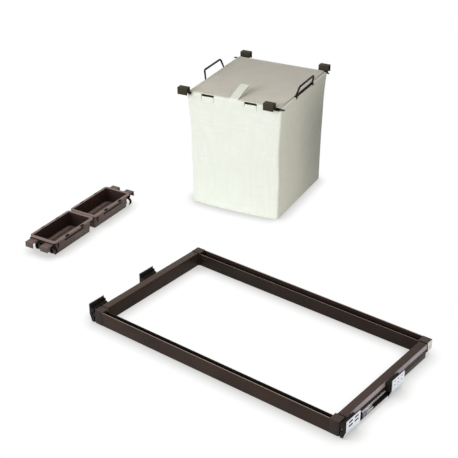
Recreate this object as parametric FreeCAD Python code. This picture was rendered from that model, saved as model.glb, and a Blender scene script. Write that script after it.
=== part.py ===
"""Pull-out laundry basket for a base cabinet, laid out as a kit on one floor.

A dark aluminium frame on two telescopic slides stands in front, ready between its
cabinet brackets. The fabric basket with its rods, handles and hooks stands behind it,
and the set of two trays with its own hooks stands at the left. Millimetres, +Z up,
X across the cabinet, -Y towards the person who pulls the frame out.
"""
import FreeCAD
import Part
import math
import os

V = FreeCAD.Vector

# Cabinet and frame
cabinet_width = 864.0
frame_depth = 456.0
frame_height = 43.0
floor_gap = 1.5
side_gap = 21.0
rail_width = 25.0
rail_wall = 2.0
inner_wall_drop = 3.5
groove_depth = 26.0
rail_lip = 3.2
side_strip_height = 25.0
side_strip_slope = 2.0
side_strip_bright = 13.0
side_leg = 4.0

# Corner caps
cap_width = 30.0
cap_depth = 27.0
cap_proud = 0.6
cap_round = 5.0
cap_front_wall = 4.0
seal_thickness = 1.2
corner_screw_radius = 2.0
corner_screw_length = 14.0
corner_screw_head = 3.6
corner_screw_head_height = 2.0
corner_screw_play = 0.2
corner_screw_socket = 1.4
corner_screw_socket_depth = 1.2

# Telescopic slides
slide_length = 400.0
slide_front_setback = 22.0
slide_travel = 400.0
slide_height = 14.0
slide_sheet = 1.5
slide_flange = 8.5
slide_play = 0.5
ball_radius = 1.25
ball_play = 0.3
balls_per_row = 6
cage_length = 110.0
cage_sheet = 1.0
cage_width = 4.6

# Cabinet brackets
bracket_width = 60.0
bracket_sheet = 2.0
bracket_height = 56.0
bracket_slope_height = 24.0
bracket_slope_run = 8.0
rear_bracket_setback = 210.0
bracket_ear = 7.0
front_slot_length = 18.0
front_slot_radius = 2.5
front_slot_pitch = 26.0
rear_hole_radius = 2.25
rear_hole_pitch = 17.0
hole_row_top = 6.5
hole_row_pitch = 11.0
pilot_radius = 1.6
pilot_drop = 20.0
screw_head_room = 2.0
packer_gap = 2.0
packer_block_height = 13.0
packer_plate = 3.5
packer_top_inset = 1.0
packer_channel = 10.0
packer_wall = 3.0
strip_sheet = 1.5
strip_ledge = 11.5
strip_lip_height = 7.0
strip_lip_play = 0.5
rivet_radius = 2.0
rivet_head = 3.2
rivet_head_height = 1.0

# Soft-close unit beside each slide
damper_length = 92.0
damper_width = 9.0
damper_height = 10.0
damper_front = 150.0
damper_wall = 1.2
damper_rod_radius = 1.5
damper_stroke = 35.0
carriage_length = 30.0
carriage_width = 5.5
carriage_front = 64.0
trigger_pin_radius = 2.5
trigger_pin_length = 6.5
trigger_pin_play = 0.6
carriage_play = 0.3
pawl_length = 22.0
pawl_step_front = 9.0
pawl_step_length = 7.0

# Fabric basket
basket_width = 336.0
basket_depth = 376.0
basket_height = 400.0
basket_waist = 0.955
basket_base_scale = 0.945
basket_waist_height = 190.0
basket_corner = 12.0
fabric = 2.5
board = 3.0
board_play = 1.0
hem_size = 10.0
rod_radius = 2.5
rod_sleeve_play = 0.4
rod_left_overhang = 13.0
rod_right_overhang = 9.0
notch_width = 38.0
left_notch_x = -89.0
right_notch_x = 54.0
lid_thickness = 2.5
lid_side_inset = 7.0
lid_front_inset = 2.0
lid_rear_inset = 8.0
lid_rest_gap = 0.3
tab_width = 30.0
tab_rise = 22.0
tab_thickness = 1.2
tab_run = 71.0
tab_crest_run = 84.0

# Basket handles
handle_foot_span = 134.0
handle_top_span = 116.0
handle_rise = 36.0
handle_lean = 15.0
handle_radius = 2.5
handle_bend = 8.0
handle_eye_radius = 4.6
handle_eye_length = 6.0
handle_play = 0.1

# Basket hooks
hook_length = 36.0
hook_wall = 3.0
hook_rise = 18.0
hook_lip_drop = 24.0
hook_channel = 15.8
snap_width = 10.0
snap_wall = 2.2
snap_mouth = 3.4
front_left_hook = -7.0
front_right_hook = -37.0
rear_left_hook = 25.0
rear_right_hook = -15.0
hook_hem_gap = 4.0

# Tray set
tray_width = 104.0
tray_pair_gap = 4.0
tray_rim_width = 9.0
tray_rim_thickness = 2.6
tray_rim_lip = 5.0
tray_corner = 12.0
tray_wall = 2.0
tray_depth = 50.0
tray_taper = 4.0
tray_end_play = 1.0
tray_step_width = 14.0
tray_step_height = 5.0
tray_dot_radius = 2.6
tray_dot_height = 1.4
tray_dots = 4
tray_dot_offset = 12.0
skirt_length = 156.0
skirt_height = 30.0
skirt_wall = 2.0
skirt_slot_length = 100.0
skirt_slot_height = 5.0
skirt_slot_rise = 16.5
rim_clip_length = 16.0
rim_clip_width = 5.0
rim_clip_pitch = 76.0
rim_clip_play = 0.4
carrier_bar = 5.0
carrier_play = 0.3
tray_hook_width = 30.0
tray_hook_wall = 2.5
tray_hook_lip = 15.0
tray_hook_play = 1.0
tray_hook_offset = 29.0
tray_hook_drop = 7.0
clip_ring_radius = 13.5
clip_ring_wall = 3.5
clip_ring_length = 8.0
clip_ring_shift = 12.0
clip_mouth = 13.0
clip_stem = 2.0
clip_stem_width = 6.0

# Places on the floor, measured from the frame's centre
basket_left = 562.0
basket_behind = 736.0
basket_turn = 11.5
trays_left = 844.0
trays_behind = 160.0
tray_turn = 7.3
basket_place = V(-basket_left, basket_behind, 0.0)
tray_place = V(-trays_left, trays_behind, 0.0)

nodes = {}


def box(x0, x1, y0, y1, z0, z1):
    """A box between two corners."""
    return Part.makeBox(x1 - x0, y1 - y0, z1 - z0, V(x0, y0, z0))


def cylinder(start, end, radius):
    """A round bar from one point to another."""
    run = end - start
    return Part.makeCylinder(radius, run.Length, start, run)


def polygon(points):
    """A closed outline as a face."""
    return Part.Face(Part.makePolygon(points + [points[0]]))


def along_x(outline, x0, x1):
    """A section given as (y, z) pairs, drawn out along X."""
    return polygon([V(x0, y, z) for y, z in outline]).extrude(V(x1 - x0, 0, 0))


def along_y(outline, y0, y1):
    """A section given as (x, z) pairs, drawn out along Y."""
    return polygon([V(x, y0, z) for x, z in outline]).extrude(V(0, y1 - y0, 0))


def mirrored_x(shape):
    """The same piece for the other side of the cabinet."""
    return shape.mirror(V(0, 0, 0), V(1, 0, 0))


def mirrored_y(shape):
    """The same piece turned to the rear."""
    return shape.mirror(V(0, 0, 0), V(0, 1, 0))


def rounded_outline(width, depth, corner, z):
    """A rounded rectangle as a closed wire at one height."""
    slab = Part.makeBox(width, depth, 1.0, V(-width / 2, -depth / 2, z))
    uprights = [e for e in slab.Edges if abs(e.tangentAt(e.FirstParameter).z) > 0.99]
    slab = slab.makeFillet(corner, uprights)
    low = min(slab.Faces, key=lambda face: face.CenterOfMass.z)
    return low.OuterWire


def rounded_block(width, depth, corner, z0, z1):
    """An upright block with rounded vertical edges."""
    return Part.Face(rounded_outline(width, depth, corner, z0)).extrude(V(0, 0, z1 - z0))


def bent_bar(points, bend, radius):
    """A round bar through points, with an arc of one radius at each inner point."""
    edges = []
    start = points[0]
    for before, corner, after in zip(points, points[1:], points[2:]):
        arrive = (corner - before).normalize()
        leave = (after - corner).normalize()
        turn = arrive.getAngle(leave)
        back = bend * math.tan(turn / 2)
        arc_start = corner - arrive * back
        arc_end = corner + leave * back
        inward = (leave - arrive).normalize()
        arc_middle = corner + inward * (bend / math.cos(turn / 2) - bend)
        edges.append(Part.LineSegment(start, arc_start).toShape())
        edges.append(Part.Arc(arc_start, arc_middle, arc_end).toShape())
        start = arc_end
    edges.append(Part.LineSegment(start, points[-1]).toShape())
    path = Part.Wire(edges)
    circle = Part.Wire(Part.makeCircle(radius, points[0], points[1] - points[0]))
    return path.makePipeShell([circle], True, False)


def fused(shapes):
    """One solid from several that meet."""
    return shapes[0].multiFuse(shapes[1:]).removeSplitter()


def group(shapes):
    """Several like pieces kept as separate solids in one node."""
    return Part.makeCompound(shapes)


# Frame places
frame_half_width = cabinet_width / 2 - side_gap
frame_half_depth = frame_depth / 2
frame_bottom = floor_gap
frame_top = frame_bottom + frame_height
groove_floor = frame_top - groove_depth
inner_wall_top = frame_top - inner_wall_drop
rail_inner = frame_half_depth - rail_width
strip_bottom = frame_top - side_strip_height
side_inner = frame_half_width - rail_width


def cross_rail():
    """Front rail: a box profile with an open groove on top that takes the hooks."""
    outer = -frame_half_depth
    inner = -rail_inner
    web = rail_wall
    end = frame_half_width - cap_width
    outline = [
        (outer, frame_bottom),
        (outer, frame_top),
        (outer + rail_lip, frame_top),
        (outer + rail_lip, frame_top - web),
        (outer + web, frame_top - web),
        (outer + web, groove_floor),
        (inner - web, groove_floor),
        (inner - web, inner_wall_top),
        (inner, inner_wall_top),
        (inner, frame_bottom),
    ]
    profile = along_x(outline, -end, end)
    chamber = box(-end, end, outer + web, inner - web, frame_bottom + web, groove_floor - web)
    return profile.cut(chamber)


def side_section(grow=0.0):
    """Outline of the right side rail, with the slide's pocket under its strip."""
    inner = side_inner
    outer = frame_half_width + grow
    top = frame_top + grow
    return [
        (inner, frame_bottom),
        (inner, top),
        (outer - side_strip_slope, top),
        (outer, top - side_strip_bright),
        (outer, strip_bottom),
        (inner + side_leg, strip_bottom),
        (inner + side_leg, frame_bottom),
    ]


rail_end = frame_half_depth - cap_depth


def side_rail():
    """Right side rail between its two caps, hollow above the slide's pocket."""
    end = rail_end - seal_thickness
    rail = along_y(side_section(), -end, end)
    hollow = box(
        side_inner + rail_wall,
        frame_half_width - side_strip_slope - rail_wall,
        -end,
        end,
        strip_bottom + rail_wall,
        frame_top - rail_wall,
    )
    return rail.cut(hollow)


def seal():
    """Thin gasket between the right side rail and its rear cap."""
    return along_y(side_section(cap_proud), rail_end - seal_thickness, rail_end)


def corner_screw_place():
    """Where the rear right corner's screw goes up into the cap, beside the slide's pocket."""
    x = (frame_half_width - cap_width + side_inner + side_leg) / 2
    y = frame_half_depth - cap_depth / 2
    return V(x, y, frame_bottom)


def rear_cap():
    """Rear right corner cap, with the slide's pocket left open under its strip."""
    outer_x = frame_half_width + cap_proud
    outer_y = frame_half_depth + cap_proud
    block = box(
        frame_half_width - cap_width, outer_x, rail_end, outer_y, frame_bottom, frame_top + cap_proud)
    uprights = [e for e in block.Edges if abs(e.CenterOfMass.x - outer_x) < 0.01
                and abs(e.CenterOfMass.y - outer_y) < 0.01]
    block = block.makeFillet(cap_round, uprights)
    pocket = box(
        side_inner + side_leg, outer_x, rail_end, outer_y, frame_bottom, strip_bottom)
    bevel = along_y(
        [
            (outer_x - side_strip_slope, frame_top + cap_proud),
            (outer_x, frame_top + cap_proud),
            (outer_x, frame_top + cap_proud - side_strip_bright),
        ],
        rail_end,
        outer_y,
    )
    return block.cut(pocket).cut(bevel).cut(screw_hole())


def screw_hole():
    """Countersunk way for the rear right corner's screw."""
    place = corner_screw_place()
    head_top = place + V(0, 0, corner_screw_head_height)
    hole = cylinder(place, head_top, corner_screw_head + corner_screw_play)
    shank = cylinder(head_top, place + V(0, 0, corner_screw_length), corner_screw_radius)
    return hole.fuse(shank)


def front_cap():
    """Front right corner cap: the rear one mirrored, with a full-height front wall."""
    cap = mirrored_y(rear_cap())
    outer_x = frame_half_width + cap_proud
    wall = box(
        side_inner,
        outer_x,
        -frame_half_depth - cap_proud,
        -frame_half_depth + cap_front_wall,
        frame_bottom,
        strip_bottom,
    )
    corner = [e for e in wall.Edges if abs(e.CenterOfMass.x - outer_x) < 0.01
              and abs(e.CenterOfMass.y + frame_half_depth + cap_proud) < 0.01]
    wall = wall.makeFillet(cap_front_wall * 0.75, corner)
    return fused([cap, wall])


def corner_screw():
    """Screw from below into the rear right cap."""
    place = corner_screw_place()
    head_top = place + V(0, 0, corner_screw_head_height)
    head = cylinder(place, head_top, corner_screw_head)
    socket = cylinder(place, place + V(0, 0, corner_screw_socket_depth), corner_screw_socket)
    shank = cylinder(head_top, place + V(0, 0, corner_screw_length), corner_screw_radius)
    return fused([head, shank]).cut(socket)


def four_corners(shape):
    """A piece of the rear right corner, repeated at all four corners."""
    front = mirrored_y(shape)
    return [shape, mirrored_x(shape), front, mirrored_x(front)]


def build_frame():
    """The moving frame: rails, caps, seals and screws."""
    nodes["front_rail"] = cross_rail()
    nodes["rear_rail"] = mirrored_y(cross_rail())
    nodes["right_rail"] = side_rail()
    nodes["left_rail"] = mirrored_x(side_rail())
    nodes["front_right_cap"] = front_cap()
    nodes["front_left_cap"] = mirrored_x(front_cap())
    nodes["rear_right_cap"] = rear_cap()
    nodes["rear_left_cap"] = mirrored_x(rear_cap())
    nodes["corner_seals"] = group(four_corners(seal()))
    nodes["corner_screws"] = group(four_corners(corner_screw()))


# Slide places, for the right side
slide_front = -frame_half_depth + slide_front_setback
slide_back = slide_front + slide_length
slide_bottom = strip_bottom - floor_gap - slide_height
slide_top = slide_bottom + slide_height
drawer_web = side_inner + side_leg
cabinet_web = frame_half_width - slide_play
bar_half_height = slide_height / 2 - slide_sheet - 2 * ball_radius - 2 * ball_play
slide_middle = (slide_bottom + slide_top) / 2
race_height = bar_half_height + ball_play + ball_radius


def channel(web_x, outward):
    """A C-shaped slide member, its mouth towards outward (+1 or -1 along X)."""
    web_inner = web_x + outward * slide_sheet
    tip = web_x + outward * slide_flange
    outline = [
        (web_x, slide_bottom),
        (web_x, slide_top),
        (tip, slide_top),
        (tip, slide_top - slide_sheet),
        (web_inner, slide_top - slide_sheet),
        (web_inner, slide_bottom + slide_sheet),
        (tip, slide_bottom + slide_sheet),
        (tip, slide_bottom),
    ]
    return along_y(outline, slide_front, slide_back)


def middle_bar():
    """The slide's middle member, which runs inside both channels."""
    inner = drawer_web + slide_sheet + slide_play
    outer = cabinet_web - slide_sheet - slide_play
    low = slide_middle - bar_half_height
    high = slide_middle + bar_half_height
    bar = box(inner, outer, slide_front, slide_back, low, high)
    waist = (drawer_web + slide_flange, cabinet_web - slide_flange)
    groove = box(waist[0], waist[1], slide_front, slide_back, high - slide_sheet, high)
    return bar.cut(groove)


ball_pitch = cage_length / balls_per_row
shared_run = slide_length - slide_travel / 2


def ball_rows():
    """Starts of the four rows of balls, in the stretches that stay shared at full travel."""
    drawer_x = drawer_web + slide_sheet + slide_play + cage_width / 2
    cabinet_x = cabinet_web - slide_sheet - slide_play - cage_width / 2
    drawer_y = slide_front + (shared_run - cage_length) / 2
    cabinet_y = slide_back - (shared_run + cage_length) / 2
    heights = (slide_middle + race_height, slide_middle - race_height)
    return [V(x, y, z) for x, y in ((drawer_x, drawer_y), (cabinet_x, cabinet_y)) for z in heights]


def ball_places(row):
    """Centres of one row's balls."""
    return [row + V(0, (i + 0.5) * ball_pitch, 0) for i in range(balls_per_row)]


def cages():
    """Four cage strips with a round pocket for each ball."""
    strips = []
    for row in ball_rows():
        strip = box(
            row.x - cage_width / 2,
            row.x + cage_width / 2,
            row.y,
            row.y + cage_length,
            row.z - cage_sheet / 2,
            row.z + cage_sheet / 2,
        )
        for place in ball_places(row):
            reach = V(0, 0, cage_sheet)
            strip = strip.cut(cylinder(place - reach, place + reach, ball_radius + ball_play))
        strips.append(strip)
    return group(strips)


def balls():
    """All balls of one slide."""
    places = [place for row in ball_rows() for place in ball_places(row)]
    return group([Part.makeSphere(ball_radius, place) for place in places])


def build_slides():
    """Both telescopic slides."""
    pieces = {
        "drawer_member": channel(drawer_web, 1),
        "middle_member": middle_bar(),
        "cabinet_member": channel(cabinet_web, -1),
        "ball_cages": cages(),
        "slide_balls": balls(),
    }
    for name, shape in pieces.items():
        nodes["right_" + name] = shape
        nodes["left_" + name] = mirrored_x(shape)


# Bracket places, for the right side
wall_x = cabinet_width / 2
plate_inner = wall_x - bracket_sheet
front_bracket_y = -frame_half_depth
rear_bracket_y = -frame_half_depth + rear_bracket_setback
block_inner = frame_half_width + packer_gap
ledge_bottom = bracket_sheet
ledge_outer = cabinet_web + strip_sheet + strip_ledge
hole_row_high = bracket_height - hole_row_top
hole_row_low = hole_row_high - hole_row_pitch
pilot_height = hole_row_high - pilot_drop


def bracket_body(y0):
    """Bent zinc plate of the right side: upright, sloped and flat along the floor."""
    foot_outer = wall_x - bracket_slope_run
    foot_inner = foot_outer - bracket_sheet
    outline = [
        (wall_x, bracket_height),
        (wall_x, bracket_slope_height),
        (foot_outer, 0.0),
        (block_inner, 0.0),
        (block_inner, bracket_sheet),
        (foot_inner, bracket_sheet),
        (plate_inner, bracket_slope_height),
        (plate_inner, bracket_height),
    ]
    body = along_y(outline, y0, y0 + bracket_width)
    ear = box(
        plate_inner - bracket_ear,
        plate_inner,
        y0 + bracket_width - bracket_sheet,
        y0 + bracket_width,
        hole_row_low,
        hole_row_high,
    )
    return fused([body, ear])


def front_openings():
    """Two rows of long slots: y, z, radius and half the straight run of each."""
    middle = front_bracket_y + bracket_width / 2
    run = front_slot_length / 2 - front_slot_radius
    return [
        (middle + side * front_slot_pitch / 2, z, front_slot_radius, run)
        for z in (hole_row_high, hole_row_low)
        for side in (-1, 1)
    ]


def rear_openings():
    """Two rows of three holes and a pilot hole below them."""
    middle = rear_bracket_y + bracket_width / 2
    holes = [
        (middle + step * rear_hole_pitch, z, rear_hole_radius, 0.0)
        for z in (hole_row_high, hole_row_low)
        for step in (-1, 0, 1)
    ]
    return holes + [(middle, pilot_height, pilot_radius, 0.0)]


def pierced(body, openings, x0, x1, room):
    """Cut each opening, wider by room, through a body from x0 to x1."""
    for y, z, radius, run in openings:
        wide = radius + room
        for end in {-run, run}:
            body = body.cut(cylinder(V(x0, y + end, z), V(x1, y + end, z), wide))
        if run > 0:
            body = body.cut(box(x0, x1, y - run, y + run, z - wide, z + wide))
    return body


def bracket(y0, openings):
    """One zinc bracket with its openings."""
    return pierced(bracket_body(y0), openings, plate_inner - bracket_sheet, wall_x + bracket_sheet, 0.0)


block_top = frame_top
block_bottom = block_top - packer_block_height
packer_channel_x = frame_half_width + packer_channel


def packer_end_wall(y0, low):
    """Front wall of a spacer, from a height up to its top, inside the bent plate."""
    foot_inner = wall_x - bracket_slope_run - bracket_sheet
    share = max(0.0, bracket_slope_height - low) / (bracket_slope_height - bracket_sheet)
    outline = [
        (block_inner, low),
        (block_inner, block_top),
        (plate_inner, block_top),
        (plate_inner, max(low, bracket_slope_height)),
        (plate_inner + (foot_inner - plate_inner) * share, low),
    ]
    return along_y(outline, y0, y0 + packer_wall)


def front_packer():
    """Front spacer, closed in front down to the plate's foot but for the trigger pin's way."""
    way = box(
        block_inner - packer_gap,
        packer_channel_x,
        front_bracket_y - packer_gap,
        front_bracket_y + bracket_width,
        slide_top + packer_gap,
        block_bottom,
    )
    wall = packer_end_wall(front_bracket_y, bracket_sheet).cut(way)
    return fused([packer(front_bracket_y, front_openings()), wall])


def rear_packer():
    """Rear spacer, closed in front down to just above the slide."""
    wall = packer_end_wall(rear_bracket_y, slide_top + packer_gap)
    return fused([packer(rear_bracket_y, rear_openings()), wall])


def packer(y0, openings):
    """Black spacer over the frame's strip and up behind the plate, with a way to each screw."""
    outline = [
        (block_inner, block_bottom),
        (block_inner, block_top),
        (plate_inner - packer_plate, block_top),
        (plate_inner - packer_plate, bracket_height - packer_top_inset),
        (plate_inner, bracket_height - packer_top_inset),
        (plate_inner, bracket_slope_height + bracket_sheet),
        (packer_channel_x, bracket_slope_height + bracket_sheet),
        (packer_channel_x, block_bottom),
    ]
    body = along_y(outline, y0, y0 + bracket_width - bracket_sheet - packer_gap)
    return pierced(body, openings, block_inner - bracket_sheet, plate_inner, screw_head_room)


def mounting_strip():
    """Bright angle that joins both brackets, with a lip that keeps the soft-close unit on it."""
    front = front_bracket_y + cap_front_wall + packer_gap
    back = rear_bracket_y + bracket_width - bracket_sheet
    outline = [
        (cabinet_web, ledge_bottom),
        (cabinet_web, slide_top),
        (cabinet_web + strip_sheet, slide_top),
        (cabinet_web + strip_sheet, ledge_bottom + strip_sheet),
        (ledge_outer - bracket_sheet, ledge_bottom + strip_sheet),
        (ledge_outer - bracket_sheet, ledge_bottom),
    ]
    lip_inner = ledge_outer - strip_sheet + strip_lip_play
    lip_outline = [
        (ledge_outer - 2 * bracket_sheet, ledge_bottom),
        (ledge_outer - 2 * bracket_sheet, ledge_bottom + strip_sheet),
        (lip_inner, ledge_bottom + strip_sheet),
        (lip_inner, ledge_bottom + strip_lip_height),
        (lip_inner + strip_sheet, ledge_bottom + strip_lip_height),
        (lip_inner + strip_sheet, ledge_bottom),
    ]
    lip = along_y(
        lip_outline, front_bracket_y + bracket_width + packer_gap, rear_bracket_y - packer_gap)
    strip = fused([along_y(outline, front, back), lip])
    for y in rivet_rows():
        reach = V(strip_sheet * 2, 0, 0)
        middle = V(cabinet_web + strip_sheet / 2, y, slide_middle)
        strip = strip.cut(cylinder(middle - reach, middle + reach, rivet_radius))
    return strip


def rivet_rows():
    """Y of each rivet that holds the slide to the strip."""
    return (
        front_bracket_y + bracket_width / 2,
        rear_bracket_y + bracket_width / 2,
    )


def rivets():
    """Rivets of the right side, through the strip and the cabinet member's web."""
    made = []
    for y in rivet_rows():
        tail = V(cabinet_web - slide_sheet, y, slide_middle)
        face = V(cabinet_web + strip_sheet, y, slide_middle)
        head = cylinder(face, face + V(rivet_head_height, 0, 0), rivet_head)
        made.append(fused([cylinder(tail, face, rivet_radius), head]))
    return made


def cabinet_member():
    """Cabinet channel with its rivet holes."""
    member = nodes["right_cabinet_member"]
    for y in rivet_rows():
        inside = V(cabinet_web - 2 * slide_sheet, y, slide_middle)
        outside = V(cabinet_web + slide_sheet, y, slide_middle)
        member = member.cut(cylinder(inside, outside, rivet_radius))
    return member


def build_brackets():
    """Brackets, spacers, strips and rivets of both sides."""
    pieces = {
        "front_bracket": bracket(front_bracket_y, front_openings()),
        "rear_bracket": bracket(rear_bracket_y, rear_openings()),
        "front_packer": front_packer(),
        "rear_packer": rear_packer(),
        "mounting_strip": mounting_strip(),
        "cabinet_member": cabinet_member(),
    }
    for name, shape in pieces.items():
        nodes["right_" + name] = shape
        nodes["left_" + name] = mirrored_x(shape)
    right = rivets()
    nodes["slide_rivets"] = group(right + [mirrored_x(rivet) for rivet in right])


# Soft-close places, for the right side
unit_inner = cabinet_web + strip_sheet + rivet_head_height
unit_bottom = ledge_bottom + strip_sheet
damper_y = -frame_half_depth + damper_front
damper_x = unit_inner + damper_width / 2
damper_z = unit_bottom + damper_height / 2
carriage_y = -frame_half_depth + carriage_front
carriage_back = carriage_y + carriage_length
carriage_x0 = block_inner + carriage_play
carriage_x1 = carriage_x0 + carriage_width
trigger_z = strip_bottom + (frame_top - side_strip_bright - strip_bottom) / 2
trigger_y = carriage_y + carriage_length / 2
carriage_bottom = unit_bottom + carriage_play
carriage_top = trigger_z - trigger_pin_play


def damper_housing():
    """Black housing with the bore that the damper's rod runs in."""
    body = box(
        unit_inner,
        unit_inner + damper_width,
        damper_y,
        damper_y + damper_length,
        unit_bottom,
        unit_bottom + damper_height,
    )
    edges = [e for e in body.Edges if abs(e.tangentAt(e.FirstParameter).y) > 0.99]
    body = body.makeFillet(damper_wall, edges)
    bore = cylinder(
        V(damper_x, damper_y, damper_z),
        V(damper_x, damper_y + damper_length - damper_wall * 2, damper_z),
        damper_rod_radius + damper_wall,
    )
    return body.cut(bore)


def damper_rod():
    """Bright rod: its piston head inside the housing, its pawl behind the carriage."""
    head_radius = damper_rod_radius + damper_wall - carriage_play
    head_back = damper_y + damper_stroke + 2 * damper_width
    pawl_back = carriage_back + pawl_length
    pawl_top = damper_z + damper_height / 2
    rod = cylinder(V(damper_x, pawl_back, damper_z), V(damper_x, head_back, damper_z), damper_rod_radius)
    head = cylinder(
        V(damper_x, head_back - damper_width, damper_z),
        V(damper_x, head_back, damper_z),
        head_radius,
    )
    pawl = box(carriage_x0, carriage_x1, carriage_back, pawl_back, carriage_bottom, pawl_top)
    step = box(
        carriage_x0,
        carriage_x1,
        carriage_back + pawl_step_front,
        carriage_back + pawl_step_front + pawl_step_length,
        damper_z + damper_rod_radius,
        pawl_top,
    )
    return fused([rod, head, pawl.cut(step)])


def latch_carriage():
    """Black carriage with a round saddle under the frame's trigger pin."""
    body = box(
        carriage_x0, carriage_x1, carriage_y, carriage_back, carriage_bottom, carriage_top)
    saddle = cylinder(
        V(carriage_x0, trigger_y, trigger_z),
        V(carriage_x1, trigger_y, trigger_z),
        trigger_pin_radius + trigger_pin_play,
    )
    way = box(
        carriage_x0,
        carriage_x1,
        carriage_y,
        carriage_back,
        trigger_z - trigger_pin_radius - trigger_pin_play,
        carriage_top,
    )
    return body.cut(way.fuse(saddle))


def trigger_pin():
    """Pin on the frame's strip that the carriage catches."""
    start = V(frame_half_width, trigger_y, trigger_z)
    return cylinder(start, start + V(trigger_pin_length, 0, 0), trigger_pin_radius)


def build_soft_close():
    """Soft-close units of both sides and the frame's trigger pins."""
    pieces = {
        "damper_housing": damper_housing(),
        "damper_rod": damper_rod(),
        "latch_carriage": latch_carriage(),
    }
    for name, shape in pieces.items():
        nodes["right_" + name] = shape
        nodes["left_" + name] = mirrored_x(shape)
    nodes["trigger_pins"] = group([trigger_pin(), mirrored_x(trigger_pin())])


# Basket places, about the basket's own centre
basket_half_width = basket_width / 2
basket_half_depth = basket_depth / 2
hem_bottom = basket_height - hem_size
rod_y = basket_half_depth - hem_size / 2
rod_z = basket_height - hem_size / 2
wire_x = basket_half_width - hem_size / 2
rod_bore = rod_radius + rod_sleeve_play


def bag_layer(inset, base):
    """The bag's outer form, drawn in by inset, from base up to the hem."""
    corner = basket_corner - inset
    heights = (base, basket_waist_height, hem_bottom)
    scales = (basket_base_scale, basket_waist, 1.0)
    wires = [
        rounded_outline(
            basket_width * scale - 2 * inset, basket_depth * scale - 2 * inset, corner, z)
        for z, scale in zip(heights, scales)
    ]
    return Part.makeLoft(wires, True, True)


def bag():
    """Fabric bag: open at the top, waisted, with a flat bottom."""
    return bag_layer(0.0, 0.0).cut(bag_layer(fabric, fabric))


def base_board():
    """Stiff board on the bag's bottom."""
    inset = 2 * (fabric + board_play)
    return rounded_block(
        basket_width * basket_base_scale - inset,
        basket_depth * basket_base_scale - inset,
        basket_corner - fabric,
        fabric,
        fabric + board,
    )


def hook_centre(side, offset):
    """X of a hook from its own corner, side -1 at the left and 1 at the right."""
    return side * basket_half_width + offset


def hem_span(left_offset, right_offset):
    """Ends of a sleeve that stops short of the two hooks on its rod."""
    reach = hook_length / 2 + hook_hem_gap
    return hook_centre(-1, left_offset) + reach, hook_centre(1, right_offset) - reach


def hem_bar(x0, x1, bare):
    """Front sleeve from x0 to x1 with the rod's bore, cut away where the rod lies bare."""
    bar = box(x0, x1, -basket_half_depth, -basket_half_depth + hem_size, hem_bottom, basket_height)
    bar = bar.cut(cylinder(V(x0, -rod_y, rod_z), V(x1, -rod_y, rod_z), rod_bore))
    for middle in bare:
        bar = bar.cut(box(
            middle - notch_width / 2,
            middle + notch_width / 2,
            -basket_half_depth,
            -basket_half_depth + hem_size,
            hem_bottom,
            basket_height,
        ))
    return bar


def side_hem():
    """Right sleeve, with a slit at each of the handle's eyes."""
    y0 = -rod_y + rod_bore
    bar = box(wire_x - hem_size / 2, wire_x + hem_size / 2, y0, -y0, hem_bottom, basket_height)
    bar = bar.cut(cylinder(V(wire_x, y0, rod_z), V(wire_x, -y0, rod_z), rod_bore))
    slit = handle_eye_length / 2 + handle_eye_radius
    for side in (-1, 1):
        y = side * handle_foot_span / 2
        bar = bar.cut(box(
            wire_x - hem_size, wire_x + hem_size, y - slit, y + slit, hem_bottom, basket_height))
    return bar


def build_bag():
    """Bag, board and sleeves."""
    nodes["bag"] = bag()
    nodes["base_board"] = base_board()
    front = hem_bar(*hem_span(front_left_hook, front_right_hook), (left_notch_x, right_notch_x))
    rear = mirrored_y(hem_bar(*hem_span(rear_left_hook, rear_right_hook), ()))
    nodes["rod_sleeves"] = group([front, rear, side_hem(), mirrored_x(side_hem())])


def build_rods():
    """Front and rear rods and the two side wires welded between them."""
    left = -basket_half_width - rod_left_overhang
    right = basket_half_width + rod_right_overhang
    front = cylinder(V(left, -rod_y, rod_z), V(right, -rod_y, rod_z), rod_radius)
    nodes["front_rod"] = front
    nodes["rear_rod"] = mirrored_y(front)
    end = rod_y - rod_radius
    wire = cylinder(V(wire_x, -end, rod_z), V(wire_x, end, rod_z), rod_radius)
    nodes["side_wires"] = group([wire, mirrored_x(wire)])


def handle():
    """Right handle: a bent wire with an eye round the side wire at each foot."""
    lean = math.radians(handle_lean)
    out = V(math.sin(lean), 0, math.cos(lean))
    pivot = V(wire_x, 0, rod_z)
    foot = pivot + out * (rod_radius + handle_play)
    top = pivot + out * handle_rise
    across = V(0, 1, 0)
    points = [
        foot - across * (handle_foot_span / 2),
        top - across * (handle_top_span / 2),
        top + across * (handle_top_span / 2),
        foot + across * (handle_foot_span / 2),
    ]
    shapes = [bent_bar(points, handle_bend, handle_radius)]
    for side in (-1, 1):
        y = side * handle_foot_span / 2
        half = V(0, handle_eye_length / 2, 0)
        middle = V(wire_x, y, rod_z)
        shapes.append(cylinder(middle - half, middle + half, handle_eye_radius))
    solid = fused(shapes)
    bore = cylinder(
        V(wire_x, -handle_foot_span, rod_z),
        V(wire_x, handle_foot_span, rod_z),
        rod_radius + handle_play,
    )
    return solid.cut(bore)


def lid_panel():
    """Stiff lid over the rods."""
    panel = rounded_block(
        basket_width - 2 * lid_side_inset,
        basket_depth - lid_front_inset - lid_rear_inset,
        basket_corner / 2,
        basket_height + lid_rest_gap,
        basket_height + lid_rest_gap + lid_thickness,
    )
    return panel.translated(V(0, (lid_front_inset - lid_rear_inset) / 2, 0))


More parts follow.
